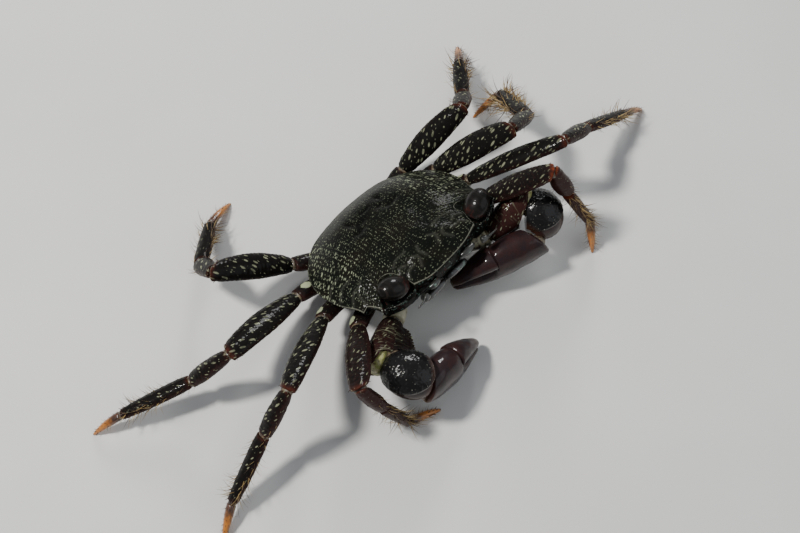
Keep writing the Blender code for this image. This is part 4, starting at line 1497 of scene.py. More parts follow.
@dataclass
class Face:
    """Antennae, antennules and mouth plates of one side."""

    side: Side
    maxilliped: tuple = ((3.15, -16.6, -7.6), (3.05, -14.6, -9.75), (2.9, -12.2, -11.2))
    maxilliped_sizes: tuple = ((0.0, 2.6, 0.6), (0.2, 2.95, 0.85), (0.6, 2.8, 0.9), (1.0, 2.0, 0.6))
    antenna: tuple = ((5.9, -17.6, -5.4), (7.4, -18.2, -5.6), (9.8, -18.5, -5.2))
    antenna_sizes: tuple = ((0.0, 0.85, 0.75), (0.32, 0.7, 0.6), (0.46, 0.42, 0.38), (0.5, 0.3, 0.28),
                            (1.0, 0.12, 0.12))
    rings_from: float = 1.9
    ring_pitch: float = 0.22
    antennule: tuple = ((2.2, -17.0, -4.9), (3.6, -17.6, -5.1), (5.0, -17.1, -4.9))
    antennule_sizes: tuple = ((0.0, 0.5, 0.55), (0.5, 0.75, 0.7), (1.0, 0.45, 0.4))

    def place(self, shop: Workshop) -> None:
        """Build the face parts.

        Args:
            shop: Takes the pieces.
        """
        forward = BODY_TURN @ np.array((0.0, -1.0, -0.2))
        word = self.side.word
        plate = limb_skin(tuple(to_world(np.array(self.maxilliped) * self.side.flip)),
                          self.maxilliped_sizes, forward, (None, None), 64, 48, 2.8)
        rows = np.linspace(0, 1, 64)[:, None]
        turn = np.linspace(0, 1, 48, endpoint=False)[None, :]
        seam = -0.22 * np.exp(-((rows - 0.36 - 0.03 * np.sin(turn * 12)) / 0.016) ** 2)
        groove = -0.16 * np.exp(-((turn - 0.62) / 0.02) ** 2) * (rows > 0.36)
        shop.add_skin(f"mouth_plate_{word}", plate.raised(seam + groove), "mouth", f"maxilliped_{word}")
        feeler = limb_skin(tuple(to_world(left_reach(np.array(self.antenna) * self.side.flip))),
                           self.antenna_sizes, forward, (None, None), 72, 20)
        run, _ = feeler.spans()
        ringed = np.where(run > self.rings_from, 0.035 * np.sin(run * 2 * math.pi / self.ring_pitch), 0.0)
        shop.add_skin(f"feeler_{word}", feeler.raised(ringed[:, None] + np.zeros((1, 20))), "mouth",
                      f"antenna_{word}")
        small = limb_skin(tuple(to_world(left_reach(np.array(self.antennule) * self.side.flip))),
                          self.antennule_sizes, forward, (None, None), 32, 20)
        shop.add_skin(f"antennule_{word}", small, "mouth")


@dataclass
class Underside:
    """Breast plate with its seams, and the folded tail."""

    front_y: float = -10.1
    length: float = 20.9
    widths: tuple = ((0.0, 6.6), (0.1, 9.2), (0.2, 10.9), (0.4, 11.5), (0.62, 11.5), (0.8, 10.2),
                     (0.92, 7.6), (1.0, 6.0))
    low: tuple = ((-10.5, -10.2), (-8.0, -11.3), (0.0, -11.1), (11.0, -9.0))
    top_z: float = -7.45
    seams: tuple = (0.2, 0.36, 0.53, 0.7, 0.85)
    tail: tuple = ((0, 13.5, -8.1), (0, 12.5, -9.2), (0, 9.5, -10.0), (0, 2.0, -11.75), (0, -5.5, -12.15))
    tail_widths: tuple = ((0.0, 5.6), (0.2, 5.9), (0.5, 4.4), (0.8, 3.0), (1.0, 1.3))
    tail_half_thickness: float = 0.42
    tail_joints: tuple = (0.14, 0.3, 0.45, 0.6, 0.75, 0.88)

    def breast(self) -> Skin:
        """Closed skin of the breast plate.

        Returns:
            The skin.
        """
        t = np.linspace(0, 1, 120)
        y = self.front_y + self.length * t
        wide = smooth_values(self.widths, t)[:, 0]
        low = smooth_values(self.low, y)[:, 0]
        angle = angles(96)
        x = wide[:, None] * np.copysign(np.abs(np.cos(angle)) ** 0.6, np.cos(angle))
        middle, half = (self.top_z + low) / 2, (self.top_z - low) / 2
        z = middle[:, None] + half[:, None] * np.copysign(np.abs(np.sin(angle)) ** 0.6, np.sin(angle))
        grid = np.stack((x, np.broadcast_to(y[:, None], x.shape), z), axis=2)
        place = t[:, None] + 0.008 * np.abs(x)
        seam = sum(np.exp(-((place - s) / 0.007) ** 2) for s in self.seams)
        under = step_between(-8.6, -9.4, z)
        reach = step_between(2.2, 3.4, np.abs(x))
        grid[..., 2] += 0.3 * seam * under * reach
        edge = np.clip(np.abs(x) / 11.5, 0, 1) ** 2 + 0.5 * seam * under
        return Skin(to_world(grid), {"edge": edge * 0.8})

    def flap(self) -> Skin:
        """Closed skin of the folded tail, with its joints.

        Returns:
            The skin.
        """
        line = curve_through(self.tail, 90)
        share = np.linspace(0, 1, 90)
        wide = smooth_values(self.tail_widths, share)[:, 0]
        joint = sum(np.exp(-((share - j) / 0.008) ** 2) for j in self.tail_joints)
        angle = angles(48)
        rings = []
        for index, centre in enumerate(line):
            ahead = unit(line[min(index + 1, 89)] - line[max(index - 1, 0)])
            lift = np.cross(ahead, (1, 0, 0))
            thick = self.tail_half_thickness * (1 - 0.45 * joint[index]) * (0.6 if index in (0, 89) else 1)
            rings.append(centre + np.outer(np.cos(angle), (1, 0, 0)) * wide[index]
                         * (1 - 0.04 * joint[index]) + np.outer(np.sin(angle), lift) * thick)
        grid = np.array(rings)
        return Skin(to_world(grid), {"edge": joint[:, None] * 0.5 + np.zeros((1, 48))})

    def place(self, shop: Workshop) -> None:
        """Build the underside."""
        shop.add_skin("breast_shield", self.breast(), "belly", "breast_plate")
        shop.add_skin("tail_folded", self.flap(), "belly", "tail_flap")


@dataclass
class LegLook:
    """How warm, pale and hairy one leg is."""

    warm: float = 0.25
    knee: float = 0.3
    propodus: float = 0.35
    hair: float = 1.0
    long: float = 1.0
    dash: float = 1.0


@dataclass
class WalkingLeg:
    """One walking leg of five lengths, with joint skin, spines and bristles."""

    side: Side
    number: int
    look: LegLook = field(default_factory=LegLook)
    base: dict = keyed({2: (16.6, -6.9, -7.9), 3: (18.2, 0.0, -7.6), 4: (17.0, 7.3, -7.4),
                        5: (12.8, 12.6, -7.7)})
    root: dict = keyed({2: (12.5, -6.0, -9.4), 3: (12.7, 0.0, -9.2), 4: (12.1, 5.8, -8.6),
                        5: (8.9, 10.3, -8.1)})
    length: dict = keyed({2: (22.5, 8.9, 11.2, 7.6), 3: (27.05, 11.1, 15.4, 7.8),
                          4: (25.5, 11.1, 15.7, 8.0), 5: (22.6, 9.0, 12.8, 8.1)})
    half_width: dict = keyed({2: 2.65, 3: 2.6, 4: 3.0, 5: 2.75})
    # Bearing and climb of merus, carpus and propodus, then the bearing of the dactylus.
    pose: dict = keyed({"right_2": ((-134.2, 29.8), (-57.7, -65.5), (-43.3, -65.0), -20.6),
                        "right_3": ((-153.3, 29.2), (179.2, -47.9), (-170.9, -34.5), -154.1),
                        "right_4": ((-175.4, 23.2), (148.9, -40.2), (153.1, -13.6), 154.5),
                        "right_5": ((154.8, 32.8), (78.0, -46.6), (39.8, -23.9), 14.2),
                        "left_2": ((-51.8, 43.0), (-47.5, -69.0), (-65.2, -60.0), -127.8),
                        "left_3": ((-41.5, 30.6), (5.4, -39.3), (-7.1, -33.1), -8.1),
                        "left_4": ((-44.1, 42.8), (16.4, -42.3), (64.9, -37.3), 159.9),
                        "left_5": ((-14.1, 35.1), (39.5, -42.2), (44.0, -21.7), 43.8)})
    shapes: tuple = (
        ("ischium", ((0.0, 1.5, 1.3), (0.3, 1.9, 1.6), (0.75, 2.0, 1.5), (1.0, 1.75, 1.25)), 40, 32, 2.0),
        ("merus", ((0.0, 0.54, 1.1), (0.12, 0.75, 1.35), (0.5, 1.0, 1.55), (0.85, 0.86, 1.5),
                   (1.0, 0.66, 1.3)), 110, 48, 1.8),
        ("carpus", ((0.0, 1.35, 1.15), (0.2, 1.7, 1.4), (0.65, 2.1, 1.5), (1.0, 1.75, 1.25)), 64, 40, 2.0),
        ("propodus", ((0.0, 1.5, 1.1), (0.2, 1.75, 1.2), (0.6, 1.7, 1.15), (1.0, 1.25, 0.95)), 72, 40, 2.0),
        ("dactylus", ((0.0, 1.05, 0.85), (0.3, 0.95, 0.8), (0.75, 0.6, 0.55), (1.0, 0.26, 0.24)),
         56, 28, 2.0))
    ischium_share: float = 0.17
    foot_axis_z: float = -0.08
    bow: float = 0.9
    face_lean_deg: float = 24.0
    merus_lean_deg: dict = keyed({"right_4": 12.0, "right_5": -20.0, "left_2": 0.0, "left_4": -10.0,
                                  "left_5": -12.0})
    # Where the pale spot of each leg root lies: share of the length, share of the turn.
    spot: dict = keyed({2: (0.72, 0.375), 3: (0.76, 0.375), 4: (0.62, 0.5), 5: (0.42, 0.5)})

    @property
    def name(self) -> str:
        """Side and number, as in the node names."""
        return f"{self.side.word}_{self.number}"

    def joints(self) -> list[Array]:
        """Root, hip, knee, carpus end, propodus end and tip (mm).

        Returns:
            These points, and the base last.
        """
        base = to_world(np.array(self.base[self.number]) * self.side.flip)
        root = to_world(np.array(self.root[self.number]) * self.side.flip)
        pose, lengths = self.pose[self.name], self.length[self.number]
        points = [base]
        for (angle, climb), length in zip(pose[:3], lengths[:3]):
            points.append(points[-1] + length * bearing(angle, climb))
        fall = points[-1][2] - self.foot_axis_z
        dive = -math.degrees(math.asin(min(0.95, fall / lengths[3])))
        points.append(points[-1] + lengths[3] * bearing(pose[3], dive))
        hip = base + self.ischium_share * (points[1] - base)
        return [root, hip, *points[1:], base]

    def reference(self, direction: Array, lean_deg: float | None = None) -> Array:
        """Outward direction of the broad face: up, leaning to the rear.

        Args:
            direction: Axis of the length.
            lean_deg: Lean, or None for the usual one.

        Returns:
            The direction, square to the axis.
        """
        lean = math.radians(self.face_lean_deg if lean_deg is None else lean_deg)
        wanted = np.array((0.0, math.sin(lean), math.cos(lean)))
        return unit(wanted - (wanted @ direction) * direction)

    def lengths(self) -> list[tuple[str, Skin, Array]]:
        """Skin and axis direction of each length, from the body outward.

        Returns:
            Rows of (part, skin, direction).
        """
        *points, base = self.joints()
        ways = [unit(b - a) for a, b in zip(points, points[1:])]
        cuts = [None, *(unit(a + b) for a, b in zip(ways, ways[1:])), None]
        made = []
        for index, (part, stations, rings, sides, power) in enumerate(self.shapes):
            start, end = points[index], points[index + 1]
            path, up = straight(start, end), self.reference(ways[index])
            if part == "ischium":
                path[1] = base + (path[1] - base) * 0.35
                cuts[1] = unit(unit(end - path[1]) + ways[1])
            if part == "merus":
                path[1] = path[1] + up * self.bow
                up = self.reference(ways[index], self.merus_lean_deg.get(self.name))
                stations = tuple((p, w * self.half_width[self.number], t) for p, w, t in stations)
            if part == "dactylus":
                path[1] = path[1] + np.array((0, 0, self.bow))
            skin = limb_skin(tuple(path), stations, up, (cuts[index], cuts[index + 1]), rings, sides, power)
            made.append((part, skin, ways[index]))
        return made

    def dressed(self, part: str, skin: Skin) -> Skin:
        """Add the marks and the fine relief of one length.

        Args:
            part: Which length.
            skin: Its skin.

        Returns:
            The finished skin.
        """
        rings, sides = skin.grid.shape[:2]
        run, _ = skin.spans()
        place, turn = skin.share(), skin.turn()
        low = 0.5 + 0.5 * np.cos(turn) + 0 * place
        edge = np.abs(np.sin(turn)) ** 8
        base_warm = {"ischium": 0.3, "merus": self.look.warm, "carpus": self.look.warm + 0.1,
                     "propodus": self.look.propodus, "dactylus": 0.5}[part]
        warm = base_warm + 0.55 * low ** 2 + 0.25 * edge + 0.3 * step_between(0.88, 1.0, place)
        joint = np.zeros_like(place)
        if part in ("merus", "carpus"):
            joint = self.look.knee * step_between(0.93, 1.0, place)
        if part in ("carpus", "propodus"):
            joint = np.maximum(joint, self.look.knee * 0.7 * step_between(0.08, 0.0, place))
        cream = np.zeros_like(place)
        if part == "ischium":
            spot_place, spot_turn = self.spot[self.number]
            spot_turn = spot_turn if self.side is Side.RIGHT else 1 - spot_turn
            ring, point = int(spot_place * (rings - 1)), int(spot_turn * sides)
            apart = np.linalg.norm(skin.grid - skin.grid[ring, point], axis=2)
            cream = 0.3 + 0.9 * step_between(1.35, 0.4, apart)
        dash = {"ischium": 0.35, "merus": 1.0, "carpus": 0.85, "propodus": 0.55, "dactylus": 0.0}[part]
        along = run[:, None] + 0.12 * np.sin(2 * turn)
        along = along + 0.12 * ripple(skin.grid, 3.0, self.number)
        scales = (np.mod(along / 0.85, 1.0) ** 2 - 0.35) * step_between(0.0, 0.1, place * (1 - place))
        upper = 1 - 0.6 * low
        keel = 0.12 * np.exp(-((1 - low) / 0.03) ** 2) if part in ("merus", "propodus") else 0.0
        height = 0.06 * scales * upper + keel if part in ("merus", "carpus") else 0.02 * scales + keel
        height = height + 0.03 * ripple(skin.grid, 1.4, 7 + self.number)
        if part == "dactylus":
            height = -0.05 * np.abs(np.sin(3 * turn)) ** 6 * (1 - place)
        made = skin.raised(height)
        made.marks = {"warm": warm, "joint": joint, "cream": cream, "reach": place,
                      "dash": dash * self.look.dash * (1 - 0.75 * low)}
        if part == "dactylus":
            made.grid[..., 2] = np.maximum(made.grid[..., 2], 0.0)
        return made

    def hairy(self, part: str, skin: Skin, way: Array) -> Skin:
        """The skin marked with where bristles stand and which way they point.

        Args:
            part: Which length.
            skin: Its skin.
            way: Direction of its axis.

        Returns:
            The guide skin.
        """
        place = skin.share()
        fringe = np.exp(-((np.sin(skin.turn()) ** 2 - 1) / 0.35) ** 2)
        amount = {"carpus": 0.35 * step_between(0.3, 1.0, place),
                  "propodus": 0.5 + 0.6 * step_between(0.1, 0.8, place),
                  "dactylus": 0.9 * step_between(0.95, 0.5, place)}[part]
        reach = {"carpus": 0.7, "propodus": 1.15, "dactylus": 0.75}[part]
        inside = step_between(0.0, 0.03, place) * step_between(1.0, 0.97, place)
        hair = amount * (0.05 + fringe) * inside * self.look.hair
        aim = skin.normals() * 0.75 + way * 0.75
        aim /= np.linalg.norm(aim, axis=2, keepdims=True)
        clear = step_between(0.15, 1.6, skin.grid[..., 2])
        size = reach * self.look.long * (0.7 + 0.5 * step_between(0, 1, place)) * (0.35 + 0.65 * clear)
        aim[..., 2] = np.maximum(aim[..., 2], -0.2 - 0.5 * clear)
        return Skin(skin.grid, {"hair": hair, "way": aim, "size": size})

    def spines(self, made: dict[str, Skin], ways: dict[str, Array]) -> Mesh:
        """Guide for the spines on the foot, at the propodus end and at the knee.

        Args:
            made: Skins by part.
            ways: Axis directions by part.

        Returns:
            The guide mesh.
        """
        rng = np.random.default_rng(SEED + self.number)
        points, aims, sizes = [], [], []
        rows = {"dactylus": (np.linspace(0.12, 0.82, 6), (0.25, 0.75, 0.42, 0.58), 0.62, 0.9),
                "propodus": ((0.93, 0.965), (0.25, 0.75, 0.4, 0.6), 0.8, 1.1),
                "merus": ((0.955,), (0.25, 0.75), 0.75, 0.8), "carpus": ((0.93,), (0.25, 0.75), 0.6, 0.9)}
        for part, (places, turns, size, lean) in rows.items():
            skin = made[part]
            share, normals = skin.share()[:, 0], skin.normals()
            sides = skin.grid.shape[1]
            for place in places:
                ring = int(np.argmin(np.abs(share - place)))
                for turn in turns:
                    side = int(round(turn * sides)) % sides
                    spot = skin.grid[ring, side] - normals[ring, side] * 0.1
                    if spot[2] < 0.7:
                        continue
                    points.append(spot)
                    aims.append(unit(normals[ring, side] + lean * ways[part]))
                    sizes.append(size * rng.uniform(0.85, 1.15))
        return point_guide(np.array(points), np.array(aims), np.array(sizes))

    def place(self, shop: Workshop, coat: Coat) -> None:
        """Build the leg's pieces.

        Args:
            shop: Takes the pieces.
            coat: Grows the bristles and granules.
        """
        made, ways = {}, {}
        for part, skin, way in self.lengths():
            made[part], ways[part] = self.dressed(part, skin), way
            finish = "foot" if part == "dactylus" else f"limb_{self.side.word}"
            shop.add_skin(f"leg_{part}_{self.name}", made[part], finish, f"{part}_{self.name}")
        shop.add_joined(f"joint_skin_{self.name}", self.joint_skins(), "dark_skin")
        hairy = [self.hairy(part, made[part], ways[part]) for part in ("carpus", "propodus", "dactylus")]
        mesh = coat.grow(f"bristles_{self.name}", coat_guide(hairy), shop.palette.materials["bristle"],
                         Growth.SCATTER, False, **BRISTLE, Seed=SEED + self.number)
        shop.add(f"bristles_{self.name}", mesh, "bristle")
        mesh = coat.grow(f"spines_{self.name}", self.spines(made, ways), shop.palette.materials["foot"],
                         Growth.STUDS, False, **SPINE, Seed=SEED)
        shop.add(f"spines_{self.name}", mesh, "foot")

    def joint_skins(self) -> list[Skin]:
        """Soft skin inside each joint of the leg.

        Returns:
            One skin for each joint.
        """
        points = self.joints()[:-1]
        sizes = ((1.5, 1.1), (1.35, 1.05), (1.3, 0.95), (0.95, 0.75))
        skins = []
        for index, (wide, thick) in enumerate(sizes, 1):
            before, after = unit(points[index] - points[index - 1]), unit(points[index + 1] - points[index])
            path = (points[index] - before * 0.9, points[index], points[index] + after * 0.9)
            up = self.reference(unit(before + after))
            skins.append(limb_skin(path, ((0.0, wide * 0.8, thick * 0.8), (0.5, wide, thick),
                                          (1.0, wide * 0.8, thick * 0.8)), up, (None, None), 14, 24))
        return skins


@dataclass
class Cheliped:
    """One claw arm: root, merus with its toothed blade, domed carpus, palm and two fingers."""

    side: Side
    # Root, hip, elbow, middle of the carpus, wrist and tip of the finger (mm).
    pose: dict = keyed({"right": ((-9.3, -12.9, 7.6), (-12.9, -14.8, 8.2), (-21.9, -19.9, 12.3),
                                  (-20.1, -26.0, 12.4), (-19.6, -29.1, 10.8), (-3.7, -28.7, 2.4)),
                        "left": ((9.9, -14.2, 7.7), (14.1, -16.7, 8.6), (22.8, -18.6, 12.9),
                                 (23.5, -22.5, 10.8), (19.5, -25.1, 9.2), (1.6, -17.6, 5.5))})
    carpus_way: dict = keyed({"right": (0.45, -0.88, -0.15), "left": (-0.3, -0.8, -0.5)})
    blade_way: dict = keyed({"right": (0.8, -0.55, -0.2), "left": (-0.2, -0.85, -0.45)})
    blade_reach: dict = keyed({"right": (1.4, 4.0), "left": (-0.2, 2.4)})
    # Where soft skin shows beside the carpus: direction from its middle, how narrow the window is.
    soft_way: dict = keyed({"right": ((-0.62, 0.77, 0.05), 0.66), "left": ((0.28, 0.87, 0.39), 0.93)})
    carpus_radii: dict = keyed({"right": (5.8, 4.9, 4.3), "left": (5.4, 4.9, 4.3)})
    ischium: tuple = ((0.0, 1.9, 1.9), (0.4, 2.3, 2.2), (1.0, 2.2, 2.1))
    merus: tuple = ((0.0, 2.0, 2.1), (0.2, 2.7, 2.7), (0.7, 3.4, 3.3), (1.0, 3.1, 2.9))
    merus_front: tuple = (0.0, -1.0, 0.35)
    blade: tuple = ((0.0, 1.5, 0.5), (0.35, 2.4, 0.75), (0.8, 2.8, 0.8), (1.0, 1.9, 0.6))
    # Palm running into the fixed finger: place, half thickness, half height, lift (mm).
    palm_start: dict = keyed({
        "right": ((0.0, 2.78, 2.7, 0.0), (0.06, 3.05, 3.25, 0.0), (0.18, 3.3, 3.98, 0.0)),
        "left": ((0.0, 3.04, 3.5, 0.0), (0.06, 3.15, 3.72, 0.0), (0.18, 3.3, 4.02, 0.0))})
    palm: tuple = ((0.36, 3.3, 4.1, 0.0), (0.47, 3.15, 3.9, 0.0), (0.515, 2.95, 3.2, -0.5),
                   (0.55, 2.6, 2.3, -1.5), (0.62, 2.35, 1.85, -1.62), (0.75, 1.95, 1.4, -1.3),
                   (0.88, 1.45, 1.0, -0.98), (0.97, 1.0, 0.62, -0.76), (1.0, 0.6, 0.36, -0.68))
    finger: tuple = ((0.0, 3.0, 1.9), (0.12, 2.85, 2.0), (0.4, 2.4, 1.65), (0.75, 1.65, 1.05),
                     (0.94, 1.05, 0.66), (1.0, 0.6, 0.36))
    # Direction in which the carpus turns from granular to smooth.
    dome_under: tuple = (-0.04, -0.28, -0.96)
    dome_mesh: tuple = (128, 144)
    granules: int = 1000
    granule_sizes: tuple = (0.11, 0.24)
    palm_share: float = 0.53
    palm_height: float = 4.1
    palm_thickness: float = 3.3
    palm_lean_deg: float = 12.0

    def axes(self) -> dict[str, Array]:
        """Joint points and cutting planes of the arm.

        Returns:
            Points (mm) and directions by name.
        """
        root, hip, elbow, middle, wrist, tip = (np.array(p) for p in self.pose[self.side.word])
        first, second = unit(hip - root), unit(elbow - hip)
        leave, arrive, aim = unit(middle - elbow), unit(wrist - middle), unit(tip - wrist)
        level = unit(np.array((0.0, 0.0, 1.0)) - aim[2] * aim)
        flank = np.cross(aim, level) * np.sign(np.cross(aim, level)[1])
        lean = math.radians(self.palm_lean_deg)
        return {"root": root, "hip": hip, "elbow": elbow, "middle": middle, "wrist": wrist, "tip": tip,
                "hip_cut": unit(first + second), "elbow_cut": unit(second + leave),
                "wrist_cut": unit(arrive + aim), "aim": aim,
                "level": math.cos(lean) * level + math.sin(lean) * flank}

    def cleared(self, skin: Skin) -> Skin:
        """The skin pressed off the domed carpus and off the palm, as a cup round them.

        Args:
            skin: The skin.

        Returns:
            The pressed skin.
        """
        axes = self.axes()
        offset = skin.grid - axes["middle"]
        soft, narrow = self.soft_way[self.side.word]
        toward = (offset @ unit(soft)) / np.linalg.norm(offset, axis=2)
        room = GAP + 1.5 * step_between(narrow, narrow + 0.12, toward)
        radii = self.carpus_radii[self.side.word]
        size = np.stack([(offset @ way) / (radius + room) for way, radius in zip(self.dome_axes(), radii)],
                        axis=2)
        depth = np.linalg.norm(size, axis=2)[..., None]
        grid = axes["middle"] + offset / np.minimum(depth, 1.0)
        side = np.cross(axes["aim"], axes["level"])
        offset = grid - axes["wrist"]
        reach = offset @ axes["aim"]
        flat = (offset @ side)[..., None] * side + (offset @ axes["level"])[..., None] * axes["level"]
        depth = np.hypot(offset @ side / (self.palm_thickness + GAP),
                         offset @ axes["level"] / (self.palm_height + GAP))[..., None]
        beside = step_between(-0.5, 0.5, reach)[..., None]
        grid = grid + flat * (1 / np.minimum(np.maximum(depth, 0.3), 1.0) - 1) * beside
        return Skin(grid, skin.marks, skin.chart)

    def upper_arm(self) -> list[Skin]:
        """Merus and its blade.

        Returns:
            Both skins.
        """
        axes = self.axes()
        hip, elbow = axes["hip"], axes["elbow"]
        second = unit(elbow - hip)
        arm = limb_skin(tuple(straight(hip, elbow + second * 1.2)), self.merus,
                        np.array(self.merus_front), (axes["hip_cut"], axes["elbow_cut"]), 130, 72, 1.8)
        run, _ = arm.spans()
        phase = (run[:, None] + 0.3 * ripple(arm.grid, 5.0, 2)) / 0.46
        rear = step_between(0.15, 0.6, arm.normals() @ unit((-0.2 * self.side.value, 1.0, 0.5)))
        arm = arm.raised(0.05 * (np.mod(phase, 1.0) ** 2 - 0.35) * (0.5 + rear))
        place = arm.share()
        stripe = step_between(0.7, 0.95, np.mod(phase, 1.0)) * rear
        warm, lined = {"right": (0.45, 1.0), "left": (0.7, 0.45)}[self.side.word]
        arm.marks = {"warm": warm + 0.2 * place, "joint": 0.05 * step_between(0.95, 1.0, place),
                     "cream": 0.5 * stripe * lined, "dash": 1.1 - 0.5 * lined + 0.2 * rear, "reach": place,
                     "striae": lined * (0.35 + 0.65 * rear) * step_between(0.2, 0.5, place),
                     "soft": 0 * place}
        way = unit(np.array(self.blade_way[self.side.word]))
        near, far = self.blade_reach[self.side.word]
        start, end = hip + 0.15 * (elbow - hip) + way * near, elbow + way * far
        normal = unit(np.cross(elbow - hip, way))
        normal = normal * np.sign(normal[2])
        plate = limb_skin(tuple(straight(start, end)), self.blade, normal, (None, axes["elbow_cut"]),
                          96, 48, 2.0, 0.8)
        run, _ = plate.spans()
        across = (plate.grid - plate.grid.mean(axis=1, keepdims=True)) @ way
        share = across / np.abs(across).max(axis=1, keepdims=True)
        upper = step_between(-0.2, 0.5, plate.normals() @ normal)
        upper = upper * step_between(0.0, 0.12, run / run[-1])[:, None]
        toward = np.clip(plate.normals() @ way, 0, 1)
        plate.grid = plate.grid + normal * (1.9 * upper * step_between(0.9, -0.5, share))[..., None]
        teeth = 0.4 * np.abs(np.sin(run * math.pi / 0.75))[:, None] * step_between(0.8, 1.0, toward)
        plate = plate.raised(teeth + 0.04 * ripple(plate.grid, 1.6, 8))
        edge = step_between(0.8, 0.98, toward)
        plate.marks = {"warm": 0.4 + 0.3 * edge, "joint": 0.0 * edge, "cream": 0.66 * edge,
                       "dash": 0.4 + 0 * edge, "reach": edge, "striae": 0.25 + 0 * edge, "soft": 0 * edge}
        return [self.cleared(arm), self.cleared(plate)]

    def dome_axes(self) -> tuple[Array, Array, Array]:
        """Long, cross and upper directions of the carpus.

        Returns:
            The three directions.
        """
        along = unit(np.array(self.carpus_way[self.side.word]))
        across = unit(np.cross(along, (0, 0, 1)))
        return along, across, np.cross(across, along)

    def wrist_dome(self) -> Skin:
        """The rounded granular carpus, flattened where it meets its neighbours.

        Returns:
            The skin.
        """
        axes = self.axes()
        along, across, lift = self.dome_axes()
        rings, sides = self.dome_mesh
        turn = np.linspace(0.02, math.pi - 0.02, rings)[:, None]
        angle = angles(sides)[None, :]
        a, b, c = self.carpus_radii[self.side.word]
        grid = (axes["middle"] - np.cos(turn)[..., None] * along * a
                + (np.sin(turn) * np.cos(angle))[..., None] * across * b
                + (np.sin(turn) * np.sin(angle))[..., None] * lift * c)
        for spot, way in ((axes["elbow"] + axes["elbow_cut"] * GAP / 2, axes["elbow_cut"]),
                          (axes["wrist"] - axes["wrist_cut"] * GAP / 2, -axes["wrist_cut"])):
            depth = (grid - spot) @ way
            grid = grid + (np.maximum(depth, 0.0) - depth)[..., None] * way
        rng = np.random.default_rng(SEED)
        seeds = grid.reshape(-1, 3)[rng.integers(0, rings * sides, self.granules)]
        sizes = rng.uniform(*self.granule_sizes, len(seeds))
        height = np.zeros((rings, sides))
        for seed, size in zip(seeds, sizes):
            near = ((grid - seed) ** 2).sum(axis=2)
            height = np.maximum(height, 0.55 * size * np.exp(-near / (size * size)))
        below = grid - axes["middle"]
        below = 0.1 + (below @ self.dome_under) / np.linalg.norm(below, axis=2)
        free = step_between(0.02, -0.02, below)
        for key in ("elbow", "wrist"):
            free = free * step_between(0.0, 1.2, np.abs((grid - axes[key]) @ axes[key + "_cut"]))
        skin = Skin(grid).raised(height * free - 0.2 * step_between(-0.02, 0.05, below))
        near_wrist = step_between(1.6, 0.2, np.abs((grid - axes["wrist"]) @ axes["wrist_cut"]))
        # The edge mark here is a painted highlight line along the rim of the dome.
        skin.marks = {"dome": step_between(0.02, -0.02, below), "low": 0.35 * step_between(0.1, 0.7, below),
                      "edge": 0.3 * np.exp(-((below - 0.01) / 0.015) ** 2), "warm": 0.12 * near_wrist}
        return skin

    def hand(self) -> tuple[Skin, Skin]:
        """Palm with its fixed finger, and the moving finger.

        Returns:
            Both skins.
        """
        axes = self.axes()
        wrist, tip, aim, level = axes["wrist"], axes["tip"], axes["aim"], axes["level"]
        stations = (*self.palm_start[self.side.word], *self.palm)
        palm = limb_skin(tuple(straight(wrist, tip)), stations, level, (axes["wrist_cut"], None),
                         150, 72, 2.15, 0.6)
        place = eased(150)[:, None] + np.zeros((1, 72))
        low = 0.5 + 0.5 * np.cos(angles(72)) + 0 * place
        line = -0.09 * np.exp(-((low - 0.86) / 0.02) ** 2) * step_between(0.1, 0.2, place)
        bite = step_between(0.58, 0.62, place) * step_between(0.06, 0.01, low)
        teeth = 0.28 * np.abs(np.sin(place * 62)) * bite
        palm = palm.raised(line + teeth + 0.03 * ripple(palm.grid, 2.6, 4))
        warm = 0.15 * step_between(0.05, 0.0, place) * low
        palm.marks = {"dome": 0 * low, "low": step_between(0.72, 0.96, low) * 0.75,
                      "edge": step_between(0.98, 1.0, low) * 0.4 + 0.7 * bite, "warm": warm}
        knuckle = wrist + aim * np.linalg.norm(tip - wrist) * (self.palm_share - 0.05)
        start, end = knuckle + level * self.palm_height * 0.5, tip + level * 0.6
        path = straight(start, end)
        path[1] = path[1] + level * 0.5
        finger = limb_skin(tuple(path), self.finger, level, (None, None), 90, 56, 2.1, 0.3)
        place = eased(90)[:, None] + np.zeros((1, 56))
        low = 0.5 + 0.5 * np.cos(angles(56)) + 0 * place
        bite = step_between(0.94, 0.99, low) * step_between(0.08, 0.16, place)
        finger = finger.raised(0.25 * np.abs(np.sin(place * 30)) * bite + 0.02 * ripple(finger.grid, 2.0, 6))
        finger.marks = {"dome": 0 * low, "low": 0.35 * step_between(0.7, 1.0, place), "edge": 0.7 * bite,
                        "warm": 0 * low}
        return palm, finger

